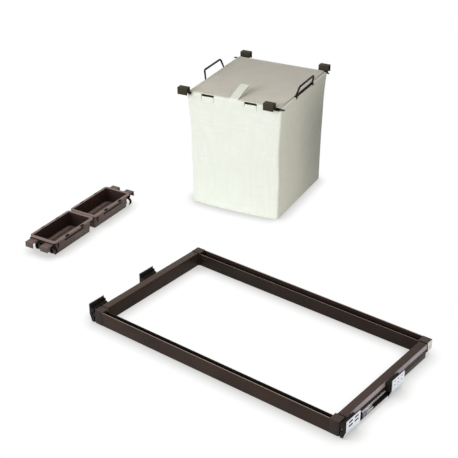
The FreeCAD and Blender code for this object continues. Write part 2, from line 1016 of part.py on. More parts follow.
def pull_tab():
    """Folded fabric strap that stands as a loop on the lid's front edge."""
    front = -basket_half_depth + lid_front_inset
    base = basket_height + lid_rest_gap + lid_thickness
    crest = front + tab_crest_run
    back = front + tab_run
    ply = 2 * tab_thickness
    ramp_foot = ply * tab_crest_run / tab_rise
    inner_rise = (tab_rise * (tab_run - ply) - ply * tab_crest_run) / tab_run
    inner_run = tab_run - ply + (tab_crest_run - tab_run) * inner_rise / tab_rise
    outline = [
        (front, base),
        (crest, base + tab_rise),
        (back, base),
        (back - ply, base),
        (front + inner_run, base + inner_rise),
        (front + ramp_foot, base),
    ]
    return along_x(outline, -tab_width / 2, tab_width / 2)


def build_handles_and_lid():
    """Handles, lid and pull tab."""
    nodes["right_handle"] = handle()
    nodes["left_handle"] = mirrored_x(handle())
    nodes["lid_panel"] = lid_panel()
    nodes["pull_tab"] = pull_tab()


# Hook places, as distances out from the rod's axis
hook_top = basket_height + hook_rise
leg_inner = rod_radius + snap_wall
lip_inner = leg_inner + hook_wall + hook_channel


def basket_hook(centre):
    """Front hook: a downward channel that drops over the rail's wall, snapped on the rod."""
    face = -rod_y
    leg_y = face - leg_inner - hook_wall
    lip_y = face - lip_inner
    left = centre - hook_length / 2
    right = centre + hook_length / 2
    shell = along_x(
        [
            (face - leg_inner, hook_top),
            (face - leg_inner, hook_top - hook_lip_drop),
            (leg_y, hook_top - hook_lip_drop),
            (leg_y, hook_top - hook_wall),
            (lip_y, hook_top - hook_wall),
            (lip_y, hook_top - hook_lip_drop),
            (lip_y - hook_wall, hook_top - hook_lip_drop),
            (lip_y - hook_wall, hook_top),
        ],
        left,
        right,
    )
    snap_left = V(centre - snap_width / 2, face, rod_z)
    snap_right = V(centre + snap_width / 2, face, rod_z)
    ring = cylinder(snap_left, snap_right, rod_radius + snap_wall)
    neck = box(
        snap_left.x, snap_right.x, face - leg_inner - hook_wall, face, rod_z - snap_wall, rod_z + snap_wall)
    solid = fused([shell, ring, neck])
    solid = solid.cut(cylinder(snap_left, snap_right, rod_radius))
    mouth = box(
        snap_left.x,
        snap_right.x,
        face - snap_mouth / 2,
        face + snap_mouth / 2,
        rod_z - rod_radius - snap_wall,
        rod_z,
    )
    grip = cylinder(snap_left, snap_right, rod_radius)
    return solid.cut(mouth.cut(grip))


def build_hooks():
    """Four hooks, each where it is clipped on its rod."""
    nodes["front_left_hook"] = basket_hook(hook_centre(-1, front_left_hook))
    nodes["front_right_hook"] = basket_hook(hook_centre(1, front_right_hook))
    nodes["rear_left_hook"] = mirrored_y(basket_hook(hook_centre(-1, rear_left_hook)))
    nodes["rear_right_hook"] = mirrored_y(basket_hook(hook_centre(1, rear_right_hook)))


# Tray set places, about the set's own centre, trays in line along Y
tray_length = rail_inner - tray_end_play - tray_pair_gap / 2
tray_middle = tray_pair_gap / 2 + tray_length / 2
rim_top = tray_depth
rim_bottom = rim_top - tray_rim_thickness
basin_width = tray_width - 2 * tray_rim_width
basin_length = tray_length - 2 * tray_rim_width
skirt_x = tray_width / 2 - tray_wall - skirt_wall
clip_x = tray_width / 2 - rim_clip_width
bar_x = (basin_width / 2 + skirt_x - skirt_wall / 2) / 2
bar_top = rim_top - tray_rim_lip - carrier_play


def basin(inset, floor):
    """The tray's hollow form, drawn in by inset, from its floor to the rim's top."""
    top = rounded_outline(
        basin_width - 2 * inset, basin_length - 2 * inset, tray_corner - inset, rim_top)
    bottom = rounded_outline(
        basin_width - 2 * (inset + tray_taper),
        basin_length - 2 * (inset + tray_taper),
        tray_corner - inset,
        floor,
    )
    return Part.makeLoft([bottom, top], True, True)


def tray():
    """One tray about its own centre: basin, rim, skirts, a floor step and small dots."""
    rim = rounded_block(tray_width, tray_length, tray_corner, rim_bottom, rim_top)
    edge = rounded_block(tray_width, tray_length, tray_corner, rim_top - tray_rim_lip, rim_top)
    inside = rounded_block(
        tray_width - 2 * tray_wall,
        tray_length - 2 * tray_wall,
        tray_corner - tray_wall,
        rim_top - tray_rim_lip,
        rim_bottom,
    )
    shapes = [rim, edge.cut(inside), basin(0.0, 0.0)]
    for side in (-1, 1):
        shapes.append(skirt(side))
    solid = fused(shapes).cut(basin(tray_wall, tray_wall))
    solid = fused([solid] + floor_details())
    for side in (-1, 1):
        for step in (-1, 1):
            solid = solid.cut(rim_slot(side, step))
    return solid


def skirt(side):
    """Hanging side panel with its long slot."""
    x0 = side * skirt_x - skirt_wall / 2
    low = rim_bottom - skirt_height
    panel = box(x0, x0 + skirt_wall, -skirt_length / 2, skirt_length / 2, low, rim_bottom)
    slot_z = low + skirt_slot_rise
    slot = box(
        x0,
        x0 + skirt_wall,
        -skirt_slot_length / 2,
        skirt_slot_length / 2,
        slot_z,
        slot_z + skirt_slot_height,
    )
    return panel.cut(slot)


def floor_details():
    """Raised step along one side of the floor and a row of dots."""
    half_width = basin_width / 2 - tray_taper - tray_wall
    half_length = basin_length / 2 - tray_taper - tray_corner
    low = tray_wall
    step = box(
        -half_width - tray_wall / 2,
        -half_width + tray_step_width,
        -half_length,
        half_length,
        low - tray_wall / 2,
        low + tray_step_height,
    )
    made = [step]
    pitch = 2 * half_length / tray_dots
    for i in range(tray_dots):
        place = V(tray_dot_offset, -half_length + (i + 0.5) * pitch, low - tray_wall / 2)
        made.append(cylinder(place, place + V(0, 0, tray_wall / 2 + tray_dot_height), tray_dot_radius))
    return made


def rim_slot(side, step):
    """Slot in the rim for one clip of the carrier."""
    x = side * (clip_x + rim_clip_width / 2)
    y = step * rim_clip_pitch / 2
    half_x = rim_clip_width / 2 + rim_clip_play
    half_y = rim_clip_length / 2 + rim_clip_play
    return box(x - half_x, x + half_x, y - half_y, y + half_y, rim_top - tray_rim_lip, rim_top)


hook_plate_top = rim_top - tray_hook_drop
hook_end = frame_half_depth + tray_hook_play
carrier_end = rail_inner - tray_hook_play
cross_y = carrier_end - carrier_bar
cross_top = bar_top - tray_hook_wall
cross_low = bar_top - 2 * carrier_bar


def carrier():
    """Black ladder under the rims: two long bars and two end bars."""
    low = bar_top - carrier_bar
    shapes = []
    for side in (-1, 1):
        x = side * bar_x
        half = carrier_bar / 4
        shapes.append(box(x - half, x + half, -carrier_end, carrier_end, low, bar_top))
        y = side * (cross_y + carrier_bar / 2)
        reach = tray_width / 2 - tray_wall - carrier_play
        shapes.append(box(-reach, reach, y - carrier_bar / 2, y + carrier_bar / 2, cross_low, cross_top))
    return fused(shapes)


def tray_hook(side):
    """Front hook plate of one side: flat over the rail, with a lip down outside it."""
    x0 = side * tray_hook_offset - tray_hook_width / 2
    plate_low = hook_plate_top - tray_hook_wall
    return along_x(
        [
            (-carrier_end, plate_low),
            (-carrier_end, hook_plate_top),
            (-hook_end - tray_hook_wall, hook_plate_top),
            (-hook_end - tray_hook_wall, plate_low - tray_hook_lip),
            (-hook_end, plate_low - tray_hook_lip),
            (-hook_end, plate_low),
        ],
        x0,
        x0 + tray_hook_width,
    )


def clip_ring(side):
    """Open ring clip on a short stem under one front corner."""
    x = side * tray_hook_offset + clip_ring_shift
    z = cross_low - clip_stem - clip_ring_radius
    y0 = -carrier_end
    y1 = y0 + clip_ring_length
    ring = cylinder(V(x, y0, z), V(x, y1, z), clip_ring_radius)
    stem = box(x - clip_stem_width / 2, x + clip_stem_width / 2, y0, y0 + carrier_bar, z, cross_low)
    bore = cylinder(V(x, y0, z), V(x, y1, z), clip_ring_radius - clip_ring_wall)
    mouth = box(x - clip_mouth / 2, x + clip_mouth / 2, y0, y1, z - clip_ring_radius, z)
    return fused([ring, stem]).cut(bore).cut(mouth)


def rim_tabs(middle):
    """Four black tabs snapped into the slots of one tray's rim."""
    tabs = []
    for side in (-1, 1):
        x0 = side * (clip_x + rim_clip_width / 2) - rim_clip_width / 2
        for step in (-1, 1):
            y = middle + step * rim_clip_pitch / 2
            tabs.append(box(
                x0,
                x0 + rim_clip_width,
                y - rim_clip_length / 2,
                y + rim_clip_length / 2,
                rim_top - tray_rim_lip,
                rim_top - rim_clip_play,
            ))
    return group(tabs)


def build_trays():
    """Two trays on their carrier, with hooks and ring clips."""
    one = tray()
    nodes["front_tray"] = one.translated(V(0, -tray_middle, 0))
    nodes["rear_tray"] = one.translated(V(0, tray_middle, 0))
    nodes["tray_carrier"] = carrier()
    nodes["front_tray_tabs"] = rim_tabs(-tray_middle)
    nodes["rear_tray_tabs"] = rim_tabs(tray_middle)
    hooks = [tray_hook(-1), tray_hook(1)]
    nodes["front_tray_hooks"] = group(hooks)
    nodes["rear_tray_hooks"] = group([mirrored_y(hook) for hook in hooks])
    rings = [clip_ring(-1), clip_ring(1)]
    nodes["ring_clips"] = group(rings + [mirrored_y(ring) for ring in rings])


def placed(names, place, turn):
    """Stand a group of nodes at its own place on the floor."""
    for name in names:
        shape = nodes[name].copy()
        shape.rotate(V(0, 0, 0), V(0, 0, 1), turn)
        shape.translate(place)
        nodes[name] = shape


build_frame()
build_slides()
build_brackets()
build_soft_close()
before_basket = set(nodes)
build_bag()
build_rods()
build_handles_and_lid()
build_hooks()
basket_nodes = [name for name in nodes if name not in before_basket]
before_trays = set(nodes)
build_trays()
tray_nodes = [name for name in nodes if name not in before_trays]
placed(basket_nodes, basket_place, basket_turn)
placed(tray_nodes, tray_place, tray_turn)

# The kit's origin is under the middle of its whole box
kit_box = group(list(nodes.values())).BoundBox
kit_origin = V(kit_box.Center.x, kit_box.Center.y, kit_box.ZMin)

os.makedirs("parts", exist_ok=True)
for name, shape in nodes.items():
    moved = shape.copy()
    moved.translate(kit_origin * -1)
    moved.exportStep("parts/" + name + ".step")
    print(name, "solids", len(moved.Solids), "volume", round(moved.Volume, 1), "valid", moved.isValid())
print("origin", round(kit_origin.x, 3), round(kit_origin.y, 3), round(kit_origin.z, 3))
print("size", round(kit_box.XLength, 1), round(kit_box.YLength, 1), round(kit_box.ZLength, 1))
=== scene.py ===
# %% [markdown]
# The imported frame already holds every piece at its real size, so this file gives them
# their looks: soft edges, cloth, stitches and finishes. Everything is in metres.

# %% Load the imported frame
import math

import bmesh
import bpy
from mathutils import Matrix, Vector, noise


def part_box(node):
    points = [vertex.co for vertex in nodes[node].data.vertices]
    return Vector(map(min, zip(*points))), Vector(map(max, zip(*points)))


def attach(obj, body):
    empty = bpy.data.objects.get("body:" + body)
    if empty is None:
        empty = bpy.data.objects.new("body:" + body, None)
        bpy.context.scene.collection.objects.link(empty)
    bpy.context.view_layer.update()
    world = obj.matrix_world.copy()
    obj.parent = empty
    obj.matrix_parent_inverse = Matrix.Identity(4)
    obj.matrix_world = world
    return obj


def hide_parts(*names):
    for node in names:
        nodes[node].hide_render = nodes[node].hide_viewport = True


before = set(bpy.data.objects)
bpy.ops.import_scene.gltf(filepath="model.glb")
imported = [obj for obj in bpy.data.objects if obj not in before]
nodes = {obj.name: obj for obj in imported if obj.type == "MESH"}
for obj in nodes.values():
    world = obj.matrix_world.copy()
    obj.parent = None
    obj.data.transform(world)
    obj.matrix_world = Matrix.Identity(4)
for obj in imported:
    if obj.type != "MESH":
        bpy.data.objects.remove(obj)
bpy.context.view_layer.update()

# %% [markdown]
# Small helpers for modelling by hand
# An operator acts on whatever is selected, so each helper starts by clearing the selection.
# A primitive is added at its size and place and its transform is applied, which leaves the
# object at the origin with its place in its mesh.

# %% Selecting and adding primitives
def clear_selection():
    """Leave edit mode and select nothing."""
    if bpy.context.object and bpy.context.object.mode != "OBJECT":
        bpy.ops.object.mode_set(mode="OBJECT")
    bpy.ops.object.select_all(action="DESELECT")


def take(piece):
    """Select one piece alone and make it active."""
    clear_selection()
    piece.select_set(True)
    bpy.context.view_layer.objects.active = piece
    return piece


def settle_origin(piece):
    """Put the piece's place, turn and size into its mesh."""
    take(piece)
    bpy.ops.object.transform_apply(location=True, rotation=True, scale=True)
    return piece


def stand(piece, place, turn=0.0):
    """Turn a piece that was made about the origin and stand it at its place."""
    piece.rotation_euler = (0, 0, turn)
    piece.location = place
    return settle_origin(piece)


def block(name, low, high):
    """A box between two corners, as a start for shaping."""
    low = Vector(low)
    high = Vector(high)
    clear_selection()
    bpy.ops.mesh.primitive_cube_add(size=1.0, location=(low + high) / 2)
    piece = bpy.context.object
    piece.name = name
    piece.scale = high - low
    return settle_origin(piece)


def slab(name, x, width, y_span, z_span):
    """A box that is centred on a place along X."""
    return block(name, (x - width / 2, y_span[0], z_span[0]), (x + width / 2, y_span[1], z_span[1]))


def rod(name, start, end, radius, sides=24):
    """A round bar from one point to another."""
    start = Vector(start)
    end = Vector(end)
    clear_selection()
    bpy.ops.mesh.primitive_cylinder_add(
        vertices=sides, radius=radius, depth=(end - start).length, location=(start + end) / 2)
    piece = bpy.context.object
    piece.name = name
    piece.rotation_euler = (end - start).to_track_quat("Z", "Y").to_euler()
    return settle_origin(piece)


def pick(piece, test, kind="FACE"):
    """In edit mode, select the faces or edges that pass a test."""
    take(piece)
    bpy.ops.object.mode_set(mode="EDIT")
    bpy.ops.mesh.select_mode(type=kind)
    bpy.ops.mesh.select_all(action="DESELECT")
    shape = bmesh.from_edit_mesh(piece.data)
    parts = shape.faces if kind == "FACE" else shape.edges
    for part in parts:
        part.select_set(test(part))
    bmesh.update_edit_mesh(piece.data)


def done(piece):
    """Back to object mode."""
    bpy.ops.object.mode_set(mode="OBJECT")
    return piece


def spread(low, high, count):
    """Places that part a stretch into equal shares, without its two ends."""
    return [low + (high - low) * i / count for i in range(1, count)]


print("hand tools ready")

# %% [markdown]
# Modifiers that are applied at once
# Carving with a Boolean, rounding with a Bevel and thickening with Solidify are how the
# hard pieces get the slots, soft edges and walls that moulding and extruding leave. They
# could stay live in the stack, but applied at once they give the next step real faces.
# Every cutter reaches a little past what it cuts, so that no thin skin is left.

# %% Carving, joining, rounding
overcut = 0.01


def apply_modifier(piece, kind, **settings):
    """Add one modifier with its settings and apply it."""
    take(piece)
    modifier = piece.modifiers.new(kind.lower(), kind)
    for key, value in settings.items():
        setattr(modifier, key, value)
    bpy.ops.object.modifier_apply(modifier=modifier.name)
    return piece


def carve(piece, *cutters):
    """Take each cutter's space out of the piece."""
    for cutter in cutters:
        apply_modifier(piece, "BOOLEAN", operation="DIFFERENCE", object=cutter, solver="EXACT")
        bpy.data.objects.remove(cutter, do_unlink=True)
    return piece


def add_on(piece, *extras):
    """Merge each extra solid into the piece."""
    for extra in extras:
        apply_modifier(piece, "BOOLEAN", operation="UNION", object=extra, solver="EXACT")
        bpy.data.objects.remove(extra, do_unlink=True)
    return piece


def joined(name, pieces):
    """Several meshes in one object."""
    clear_selection()
    for piece in pieces:
        piece.select_set(True)
    bpy.context.view_layer.objects.active = pieces[0]
    bpy.ops.object.join()
    pieces[0].name = name
    return pieces[0]


def soften(piece, width, segments=3, angle=35.0):
    """Round the sharp edges and shade the piece smooth between them."""
    apply_modifier(
        piece, "BEVEL", width=width, segments=segments, limit_method="ANGLE",
        angle_limit=math.radians(angle))
    take(piece)
    bpy.ops.object.shade_smooth_by_angle(angle=math.radians(angle))
    return piece


def outward(piece):
    """Merge doubles and point every face outwards."""
    take(piece)
    bpy.ops.object.mode_set(mode="EDIT")
    bpy.ops.mesh.select_all(action="SELECT")
    bpy.ops.mesh.remove_doubles(threshold=0.00001)
    bpy.ops.mesh.normals_make_consistent(inside=False)
    return done(piece)


def mirror(piece, x=1, y=1):
    """Mirror a piece across X or Y through the origin."""
    piece.scale = (x, y, 1)
    settle_origin(piece)
    return outward(piece)


def near(a, b):
    """Whether two lengths are the same, to a tenth of a millimetre."""
    return abs(a - b) < 0.0001


def round_uprights(piece, radius, segments=6, test=None):
    """Round a block's upright edges."""
    def upright(edge):
        a, b = (vert.co for vert in edge.verts)
        return near(a.x, b.x) and near(a.y, b.y) and (test is None or test(a))

    pick(piece, upright, "EDGE")
    bpy.ops.mesh.bevel(offset=radius, segments=segments, affect="EDGES")
    return done(piece)


def slice_planes(piece, axis, places):
    """Cut the mesh across one axis at several places, to give it points to shape."""
    take(piece)
    bpy.ops.object.mode_set(mode="EDIT")
    normal = Vector((0, 0, 0))
    normal[axis] = 1
    for place in places:
        bpy.ops.mesh.select_all(action="SELECT")
        bpy.ops.mesh.bisect(plane_co=normal * place, plane_no=normal)
    return done(piece)


print("shaping tools ready")

# %% [markdown]
# Finishes as nodes
# Every finish is made of procedural nodes on Object coordinates, so it needs no picture
# file and keeps its real scale. Nodes could be wired one by one, as in the editor. A short
# builder that adds a node and links its sockets keeps each recipe to a few lines instead.

# %% Node builder
def toned(color, gain):
    """A colour made lighter or darker, by one gain or by one for each channel."""
    gains = gain if isinstance(gain, tuple) else (gain, gain, gain)
    return tuple(channel * share for channel, share in zip(color, gains))


class Finish:
    """A material with its node tree, its main shader and a few shortcuts."""

    def __init__(self, name, color, roughness, metallic=0.0, turn=0.0):
        self.material = bpy.data.materials.new(name)
        self.material.use_nodes = True
        self.material.diffuse_color = (*color, 1)
        self.tree = self.material.node_tree
        self.shader = self.tree.nodes["Principled BSDF"]
        self.shader.inputs["Base Color"].default_value = (*color, 1)
        self.shader.inputs["Roughness"].default_value = roughness
        self.shader.inputs["Metallic"].default_value = metallic
        place = self.add("ShaderNodeTexCoord").outputs["Object"]
        mapping = self.add("ShaderNodeMapping", {"Vector": place})
        mapping.inputs["Rotation"].default_value = (0, 0, -turn)
        self.place = mapping.outputs["Vector"]

    def add(self, kind, links=None, **settings):
        """A node with its settings, and its sockets linked or set."""
        node = self.tree.nodes.new(kind)
        for key, value in settings.items():
            setattr(node, key, value)
        for socket, value in (links or {}).items():
            target = node.inputs[socket]
            if isinstance(value, bpy.types.NodeSocket):
                self.tree.links.new(value, target)
            else:
                target.default_value = value
        return node

    def set(self, socket, source):
        """Link something to the main shader."""
        self.tree.links.new(source, self.shader.inputs[socket])

    def gloss(self, level):
        """How strongly the surface mirrors at a steep look."""
        self.shader.inputs["Specular IOR Level"].default_value = level

    def axis(self, vector, name):
        """One axis of a vector."""
        return self.add("ShaderNodeSeparateXYZ", {"Vector": vector}).outputs[name]

    def stretched(self, x, y, z):
        """The place, scaled by a different amount along each axis."""
        node = self.add("ShaderNodeMapping", {"Vector": self.place})
        node.inputs["Scale"].default_value = (x, y, z)
        return node.outputs["Vector"]

    def noise(self, scale, detail=4.0, place=None):
        """A cloudy value from 0 to 1."""
        node = self.add("ShaderNodeTexNoise", {
            "Vector": place or self.place, "Scale": scale, "Detail": detail})
        return node.outputs["Fac"]

    def span(self, source, low, high, out_low, out_high):
        """A value moved from one range to another."""
        node = self.add("ShaderNodeMapRange", {
            "Value": source, "From Min": low, "From Max": high,
            "To Min": out_low, "To Max": out_high})
        return node.outputs["Result"]

    def math(self, operation, *values):
        """One step of arithmetic."""
        node = self.add("ShaderNodeMath", dict(enumerate(values)), operation=operation)
        return node.outputs["Value"]

    def blend(self, factor, one, two):
        """A colour between two, by a factor."""
        node = self.add("ShaderNodeMix", data_type="RGBA")
        self.tree.links.new(factor, node.inputs["Factor"])
        for socket, value in (("A", one), ("B", two)):
            target = [s for s in node.inputs if s.name == socket and s.type == "RGBA"][0]
            if isinstance(value, bpy.types.NodeSocket):
                self.tree.links.new(value, target)
            else:
                target.default_value = (*value, 1)
        return [s for s in node.outputs if s.type == "RGBA"][0]

    def clouded(self, color, scale, dark, light):
        """The colour with soft clouds of a darker and a lighter tone."""
        cloud = self.span(self.noise(scale, 3.0), 0.35, 0.65, 0, 1)
        return self.blend(cloud, toned(color, dark), toned(color, light))

    def painted_top_sheen(self, tint, sheen_tone):
        """A painted sheen: another tone on the faces that look up, for the sky light they catch."""
        upward = self.axis(self.add("ShaderNodeNewGeometry").outputs["Normal"], "Z")
        return self.blend(self.span(upward, 0.6, 0.98, 0, 0.9), tint, sheen_tone)

    def bump(self, height, strength, distance, normal=None):
        """Fine relief from a height, on top of another relief if there is one."""
        links = {"Height": height, "Strength": strength, "Distance": distance}
        if normal is not None:
            links["Normal"] = normal
        return self.add("ShaderNodeBump", links).outputs["Normal"]

    def edge(self, radius):
        """Rounded-edge normals, and how much each point is on an edge."""
        soft = self.add("ShaderNodeBevel", {"Radius": radius}, samples=6).outputs["Normal"]
        flat = self.add("ShaderNodeNewGeometry").outputs["True Normal"]
        dot = self.add("ShaderNodeVectorMath", {0: soft, 1: flat}, operation="DOT_PRODUCT")
        return soft, self.span(dot.outputs["Value"], 0.97, 0.8, 0.0, 1.0)


print("node builder ready")

# %% [markdown]
# Powder-coated profile
# The rails are aluminium profile with a dark brown powder coat. Powder coat is never quite
# flat: it has a fine orange-peel bump and a little change of gloss, and its edges get a
# painted highlight. Extruding leaves faint lines along the length, so one noise is stretched
# along the rail. A picture of such a coat would repeat itself on a long rail, and noises
# don't. Tops get a painted sheen for the sky light they catch, changing from front to back.

# %% Powder coat
# Along Y, where the tops' painted sheen turns from its front tone to its far tone.
sheen_change = (-0.45, -0.2)


def powder_coat(name, color, along, top_sheen, far_top_sheen=None, roughness=0.42, gloss=0.08):
    """Dark coat on a profile along X (0) or Y (1), with its top's painted sheen in front and far."""
    coat = Finish(name, color, roughness)
    coat.gloss(gloss)
    tint = coat.clouded(color, 9.0, 0.84, 1.28)
    scale = (4, 700, 700) if along == 0 else (700, 4, 700)
    lines = coat.noise(1.0, 2.0, coat.stretched(*scale))
    tint = coat.blend(coat.span(lines, 0.3, 0.7, 0, 0.22), tint, toned(color, 1.28))
    # Painted highlight: the colour is lightened along edges, where a rounded edge catches the light.
    soft, on_edge = coat.edge(0.0008)
    tint = coat.blend(coat.math("MULTIPLY", on_edge, 0.5), tint, toned(color, 2.4))
    # Painted sheen on the faces that look up, with a front and a far tone.
    backward = coat.span(coat.axis(coat.place, "Y"), *sheen_change, 0, 1)
    coat.set("Base Color", coat.painted_top_sheen(tint, coat.blend(backward, top_sheen, far_top_sheen or top_sheen)))
    coat.set("Roughness", coat.span(coat.noise(60.0), 0.3, 0.7, roughness - 0.06, roughness + 0.1))
    peel = coat.noise(1500.0, 2.0)
    rough = coat.bump(lines, 0.08, 0.0002, soft)
    coat.set("Normal", coat.bump(peel, 0.1, 0.0002, rough))
    return coat.material


profile_brown = (0.030, 0.0195, 0.015)
coat_across = powder_coat("powder_coat_across", profile_brown, 0, (0.07, 0.048, 0.039))
# Painted shade: a darker copy of the coat for the rails' inner walls.
coat_inside_shade = powder_coat("powder_coat_inside_shade", (0.0175, 0.0115, 0.0085), 0, (0.06, 0.04, 0.03))
# Painted highlight: a pale coat for the thin light line along the lips.
coat_lip_highlight = powder_coat("powder_coat_lip_highlight", profile_brown, 0, (0.34, 0.27, 0.24), gloss=0.3)
# The side rails carry different painted top sheens, lighter or darker by how the light falls on each.
coat_right = powder_coat(
    "powder_coat_right", profile_brown, 1, (0.098, 0.067, 0.06), (0.07, 0.05, 0.042))
coat_left = powder_coat(
    "powder_coat_left", profile_brown, 1, (0.112, 0.084, 0.07), (0.12, 0.092, 0.078))
# Painted reflection: the pale lavender tone of the side rails' leaning strip, for the bright light it
# mirrors.
strip_reflection_tone = (0.315, 0.28, 0.318)
strip_reflection = powder_coat("strip_reflection", strip_reflection_tone, 1, strip_reflection_tone, roughness=0.36, gloss=0.4)
# Painted highlight: a pale tone for the glint on the rear caps' leaning faces.
cap_glint_tone = (0.8, 0.78, 0.8)
cap_glint = powder_coat("cap_glint", cap_glint_tone, 1, cap_glint_tone, roughness=0.36, gloss=0.4)
print("profile finishes made")

# %% [markdown]
# Moulded plastics
# Caps, hooks, spacers and trays are injection moulded. A spark-eroded mould leaves a fine
# even grain, so these finishes mix two noises for the grain and let the gloss wander a
# little. The lighter edge is a painted highlight, for the light a rounded edge catches. It
# could be painted on by hand, but a Bevel node finds every edge by itself.

# %% Moulded plastic
def moulded(name, color, roughness, grain=0.25, edge_highlight_gain=1.5, gloss=0.2, top_sheen_gain=1.0):
    """Grained plastic of one colour, with a painted highlight on its edges and, with a top gain, a
    painted sheen on its top.
    """
    plastic = Finish(name, color, roughness)
    plastic.gloss(gloss)
    tint = plastic.clouded(color, 14.0, 0.88, 1.15)
    soft, on_edge = plastic.edge(0.0006)
    tint = plastic.blend(plastic.math("MULTIPLY", on_edge, 0.55), tint, toned(color, edge_highlight_gain))
    plastic.set("Base Color", plastic.painted_top_sheen(tint, toned(color, top_sheen_gain)))
    sheen = plastic.span(plastic.noise(90.0), 0.3, 0.7, roughness - 0.05, roughness + 0.08)
    plastic.set("Roughness", sheen)
    height = plastic.math("ADD", plastic.noise(2600.0, 2.0), plastic.noise(900.0, 2.0))
    plastic.set("Normal", plastic.bump(height, grain, 0.00015, soft))
    return plastic.material


# A top gain above one gives the faces that look up a painted sheen.
cap_brown = moulded("cap_brown", (0.0205, 0.014, 0.0112), 0.48, edge_highlight_gain=3.0, top_sheen_gain=4.2)
black_plastic = moulded(
    "black_plastic", (0.006, 0.005, 0.0045), 0.5, grain=0.08, edge_highlight_gain=2.0, gloss=0.1)
spacer_black = moulded(
    "spacer_black", (0.0145, 0.011, 0.0085), 0.5, grain=0.08, edge_highlight_gain=1.8, gloss=0.1)
hook_brown = moulded("hook_brown", (0.045, 0.037, 0.0255), 0.42, edge_highlight_gain=2.0, gloss=0.08, top_sheen_gain=1.15)
# One tray plastic in four tones: rim, floor, step and dots are painted lighter as lit, the basin's
# walls darker as painted shade.
tray_taupe = moulded("tray_taupe", (0.105, 0.075, 0.068), 0.4, grain=0.2, edge_highlight_gain=1.7)
tray_rim_lit = moulded("tray_rim_lit", (0.2, 0.148, 0.135), 0.4, grain=0.2, edge_highlight_gain=1.5, top_sheen_gain=1.5)
tray_inner_shade = moulded(
    "tray_inner_shade", (0.03, 0.018, 0.0155), 0.45, grain=0.2, edge_highlight_gain=2.0, gloss=0.1)
tray_floor_lit = moulded("tray_floor_lit", (0.24, 0.18, 0.155), 0.45, grain=0.2, edge_highlight_gain=1.4)
tray_hook_taupe = moulded("tray_hook_taupe", (0.085, 0.062, 0.058), 0.42, edge_highlight_gain=1.8, top_sheen_gain=2.4)
seal_rubber = moulded("seal_rubber", (0.004, 0.004, 0.004), 0.7, grain=0.3, gloss=0.05)
board_grey = moulded("board_grey", (0.42, 0.4, 0.36), 0.75, grain=0.5, edge_highlight_gain=1.1)
print("plastics made")

# %% [markdown]
# Zinc-plated steel
# Bright zinc plate on pressed steel has a faint blue cast, streaks along the rolling
# direction and softly cloudy patches. One noise, stretched along the rolling direction,
# drives the gloss, since on bare metal streaks show in the shine and not in the colour.
# The outer slide members are darker at their rear ends. The wires are steel rod in
# a thin dark coat.

# %% Metals
dark_from = -0.333
slide_rear_tone = (0.035, 0.025, 0.021)
slide_grey = (0.7, 0.71, 0.74)


def zinc(name, color, roughness, along, metallic=1.0, dark_rear=False):
    """Bright plated steel, rolled along one axis and, if asked, darker at the rear."""
    plate = Finish(name, color, roughness, metallic=metallic)
    patch = plate.noise(70.0, 4.0)
    tint = plate.blend(plate.span(patch, 0.35, 0.65, 0, 1), toned(color, (0.94, 0.96, 1.0)), color)
    if dark_rear:
        depth = plate.axis(plate.place, "Y")
        behind = plate.span(depth, dark_from - 0.001, dark_from + 0.001, 0, 1)
        tint = plate.blend(behind, tint, slide_rear_tone)
    plate.set("Base Color", tint)
    scale = [500, 500, 500]
    scale[along] = 12
    streak = plate.noise(1.0, 3.0, plate.stretched(*scale))
    plate.set("Roughness", plate.span(streak, 0.25, 0.75, roughness - 0.08, roughness + 0.12))
    soft = plate.edge(0.0005)[0]
    plate.set("Normal", plate.bump(streak, 0.05, 0.0001, soft))
    return plate.material


zinc_plate = zinc("zinc_plate", (0.78, 0.8, 0.84), 0.28, 1)
# Painted highlight: the mounting strips get a paler, less metallic zinc for the light they catch.
strip_zinc_highlight = zinc("strip_zinc_highlight", (0.86, 0.87, 0.9), 0.4, 1, 0.35)
slide_steel = zinc("slide_steel", slide_grey, 0.3, 1)
cabinet_steel = zinc("cabinet_steel", slide_grey, 0.3, 1, dark_rear=True)
screw_steel = zinc("screw_steel", (0.6, 0.61, 0.63), 0.35, 2)
ball_steel = zinc("ball_steel", (0.82, 0.82, 0.84), 0.12, 0)


def coated_wire():
    """Steel wire in a thin dark dip coat with small runs."""
    wire = Finish("coated_wire", (0.012, 0.008, 0.006), 0.38)
    wire.gloss(0.12)
    cloud = wire.span(wire.noise(30.0, 3.0), 0.3, 0.7, 0, 1)
    wire.set("Base Color", wire.blend(cloud, (0.007, 0.0048, 0.0035), (0.014, 0.0095, 0.007)))
    wire.set("Roughness", wire.span(wire.noise(120.0), 0.3, 0.7, 0.28, 0.44))
    wire.set("Normal", wire.bump(wire.noise(220.0), 0.25, 0.0003))
    return wire.material


wire_coat = coated_wire()
print("metals made")

# %% [markdown]
# Basket fabric
# The bag is a plain off-white cloth with a fine cross-hatch. Threads could be modelled, but
# they would need millions of faces. Three sine waves, one along each axis of the basket,
# cross on every wall instead and give the same weave on all of them, with painted shade in
# its hollows. The thread's thickness varies, so a stretched noise shifts the tone of whole
# threads, and a slow noise gives the cloth its faint cloudiness. Towards the basket's back
# both cloths get darker as painted shade, the lid's more than the bag's.

# %% Cloth finish
basket_turn = math.radians(11.5)
# Along the basket's Y, where the cloth's painted shade goes from none to full.
back_shade_span = (0.23, 0.6)


